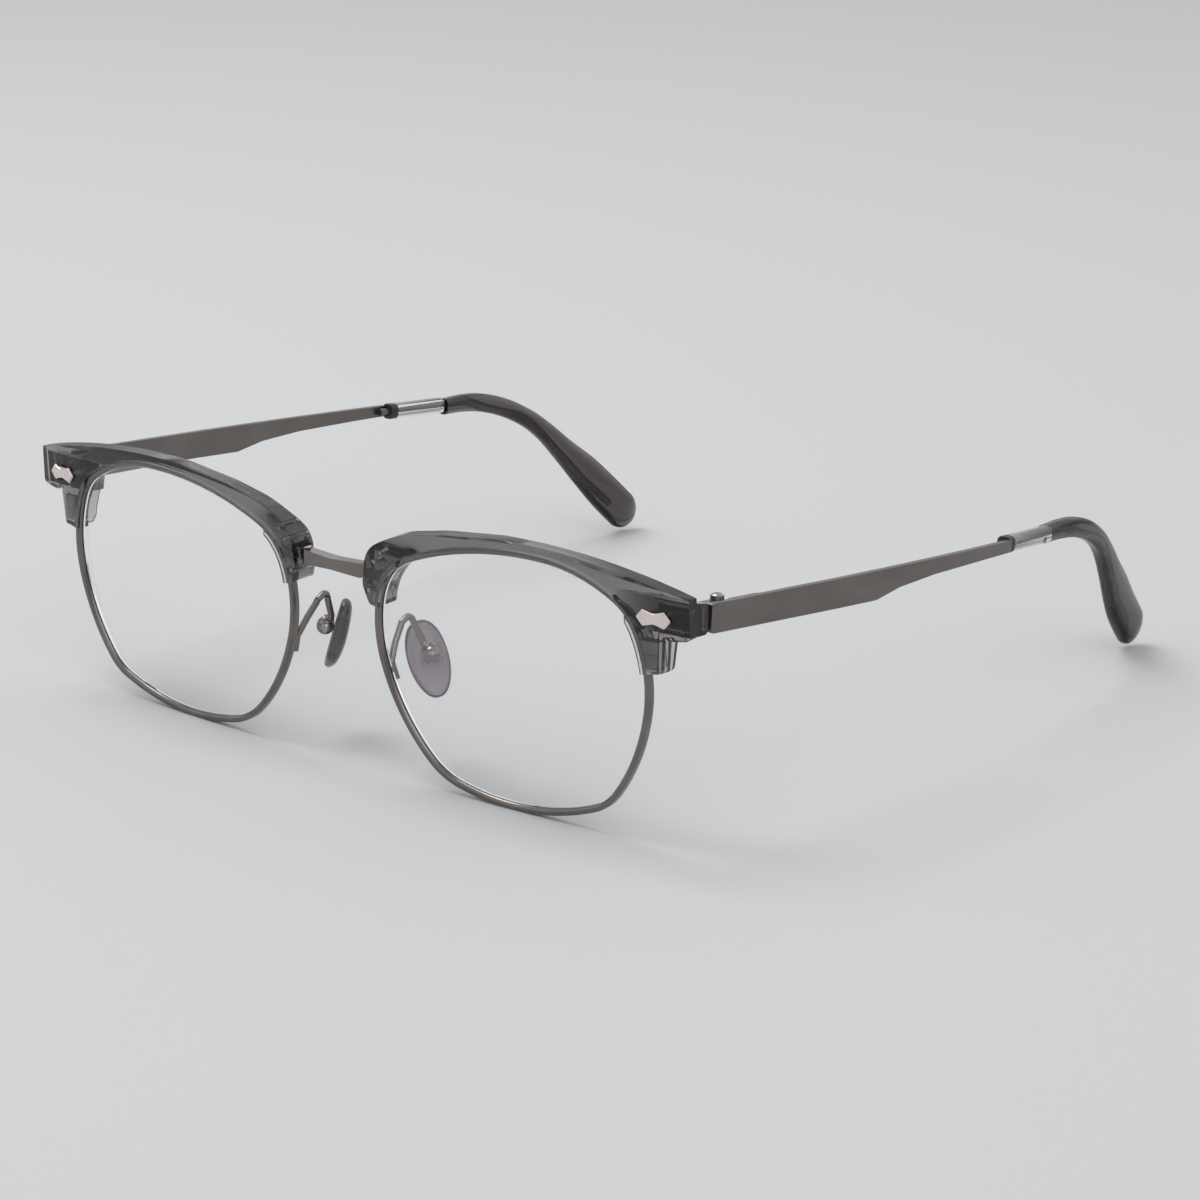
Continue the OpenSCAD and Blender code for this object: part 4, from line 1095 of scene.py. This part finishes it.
@dataclass
class Studio:
    """Pale floor, soft lights and the camera of the photograph."""

    azimuth: float = 40.19
    elevation: float = 16.12
    roll: float = 0.60
    focal: float = 118.314
    eye: Point = (0.42332, -0.507334, 0.20328)
    floor_colour: Colour = (0.53, 0.535, 0.54)
    sky_level: float = 1.0
    sky_steps: tuple[tuple[float, float], ...] = ((0.0, 0.34), (1.0, 0.66), (0.15, 0.5), (0.3, 0.95))
    floor_reach: float = 6.0
    lamps: tuple[tuple[str, Point, Point, float, float], ...] = (
        ("key", (-0.5, -0.15, 1.15), (0.0, 0.0, 0.0), 0.7, 7.5),
        ("fill", (1.3, -0.8, 1.2), (0.0, 0.0, 0.02), 1.3, 5.0),
    )

    def camera(self) -> None:
        """Sets the camera where the photograph was taken from."""
        az, el, roll = (math.radians(a) for a in (self.azimuth, self.elevation, self.roll))
        back = Vector((math.sin(az) * math.cos(el), -math.cos(az) * math.cos(el), math.sin(el)))
        right = Vector((math.cos(az), math.sin(az), 0.0))
        up = back.cross(right)
        x = math.cos(roll) * right + math.sin(roll) * up
        y = -math.sin(roll) * right + math.cos(roll) * up
        data = bpy.data.cameras.new("camera")
        data.sensor_width = 36.0
        data.sensor_fit = "HORIZONTAL"
        data.lens = self.focal
        data.clip_start = 0.01
        data.clip_end = 20.0
        camera = linked("camera", data)
        camera.matrix_world = Matrix.Translation(self.eye) @ Matrix((x, y, back)).transposed().to_4x4()
        bpy.context.scene.camera = camera

    def lamp(self, name: str, place: Point, aim: Point, size: float, watts: float) -> None:
        """A square soft light that shines from place towards aim."""
        data = bpy.data.lights.new(name, "AREA")
        data.size = size
        data.energy = watts
        lamp = linked(name, data)
        lamp.location = place
        lamp.rotation_euler = (Vector(aim) - Vector(place)).to_track_quat("-Z", "Y").to_euler()

    def floor(self) -> None:
        """A wide plain floor under the glasses."""
        mesh = bpy.data.meshes.new("floor")
        r = self.floor_reach
        mesh.from_pydata([(-r, -r, 0), (r, -r, 0), (r, r, 0), (-r, r, 0)], [], [(0, 1, 2, 3)])
        material, shader = principled("pale_floor")
        shader.inputs["Base Color"].default_value = (*self.floor_colour, 1.0)
        shader.inputs["Roughness"].default_value = 0.9
        shader.inputs["Specular IOR Level"].default_value = 0.1
        placed("floor", mesh, material)

    def sky(self) -> None:
        """An even grey sky that is brightest a little above the horizon."""
        world = bpy.data.worlds.new("sky")
        bpy.context.scene.world = world
        world.use_nodes = True
        tree = world.node_tree
        sky = tree.nodes["Background"]
        sky.inputs["Strength"].default_value = self.sky_level
        place = tree.nodes.new("ShaderNodeTexCoord")
        height = tree.nodes.new("ShaderNodeSeparateXYZ")
        ramp = tree.nodes.new("ShaderNodeValToRGB")
        for step, (where, level) in enumerate(self.sky_steps):
            stop = ramp.color_ramp.elements[step] if step < 2 else ramp.color_ramp.elements.new(where)
            stop.position = where
            stop.color = (level, level, level * 1.01, 1.0)
        tree.links.new(place.outputs["Generated"], height.inputs["Vector"])
        tree.links.new(height.outputs["Z"], ramp.inputs["Fac"])
        tree.links.new(ramp.outputs["Color"], sky.inputs["Color"])

    def build(self) -> None:
        """Sets up floor, camera, lights and sky."""
        self.floor()
        self.camera()
        for lamp in self.lamps:
            self.lamp(*lamp)
        self.sky()
        bpy.context.scene.view_settings.view_transform = "Standard"


EASED = (
    Eased("plaque", "plaque_plate", PLAQUE_METAL, "satin_plaque", "front", 0.08, 3),
    Eased("closing_block", "rim_block", GUNMETAL, "gunmetal", "front", 0.08),
    Eased("brow_pins", "brow_pin_set", SCREW_METAL, "screw_steel", "front", 0.05),
    Eased("hinge_front", "hinge_front_leaf", GUNMETAL, "gunmetal", "front"),
    Eased("hinge_rear", "hinge_rear_leaf", GUNMETAL, "gunmetal", "SIDE_arm"),
    Eased("temple", "temple_blade", BLADE_METAL, "brushed_temple", "SIDE_arm", 0.12, 3),
    Eased("ring", "tip_ring", RING_DARK, "dark_ring", "SIDE_arm", 0.12, 3),
    Eased("sleeve", "tip_sleeve", SLEEVE_CLEAR, "clear_sleeve", "SIDE_arm", 0.05),
)
HINGE_SCREW = Screws(
    "hinge_screw_slotted", "hinge_screw", 1.0, 0.42, 0.3, 0.6, 4.6,
    Matrix.Translation(Tips.pivot) @ spin(-Tips.pitch, "X") @ Matrix.Translation((0, 0, 2.3)) @ spin(35, "Z"),
)
PAD_SCREW = Screws(
    "pad_screw_slotted", "pad_screw", 0.8, 0.35, 0.24, 0.42, 2.58,
    PAD.matrix() @ spin(90, "X") @ Matrix.Translation((0, 0, 1.38)),
)
LOCK_SCREW = Screws(
    "rim_screw_slotted", "lock_screw", 0.8, 0.4, 0.24, 0.5, 3.7,
    PLANE.matrix() @ Matrix.Translation((28.2, 1.45, 10.45)) @ spin(180, "X"),
)


def main() -> None:
    """Builds every sub-assembly in order."""
    logging.basicConfig(level=logging.INFO, format="%(name)s %(message)s")
    for assembly in (Rims(), Lenses(), Brows()):
        assembly.build()
    bridge = eased_copy("bridge_bar", "bridge", dressed(BRIDGE_METAL), 0.22 * MM, 3)
    enlist(bridge, "front", ["bridge"])
    for assembly in (*EASED, HINGE_SCREW, PadWires(), PadShells(), PAD_SCREW, LOCK_SCREW, Tips(), Studio()):
        assembly.build()


if __name__ == "__main__":
    main()
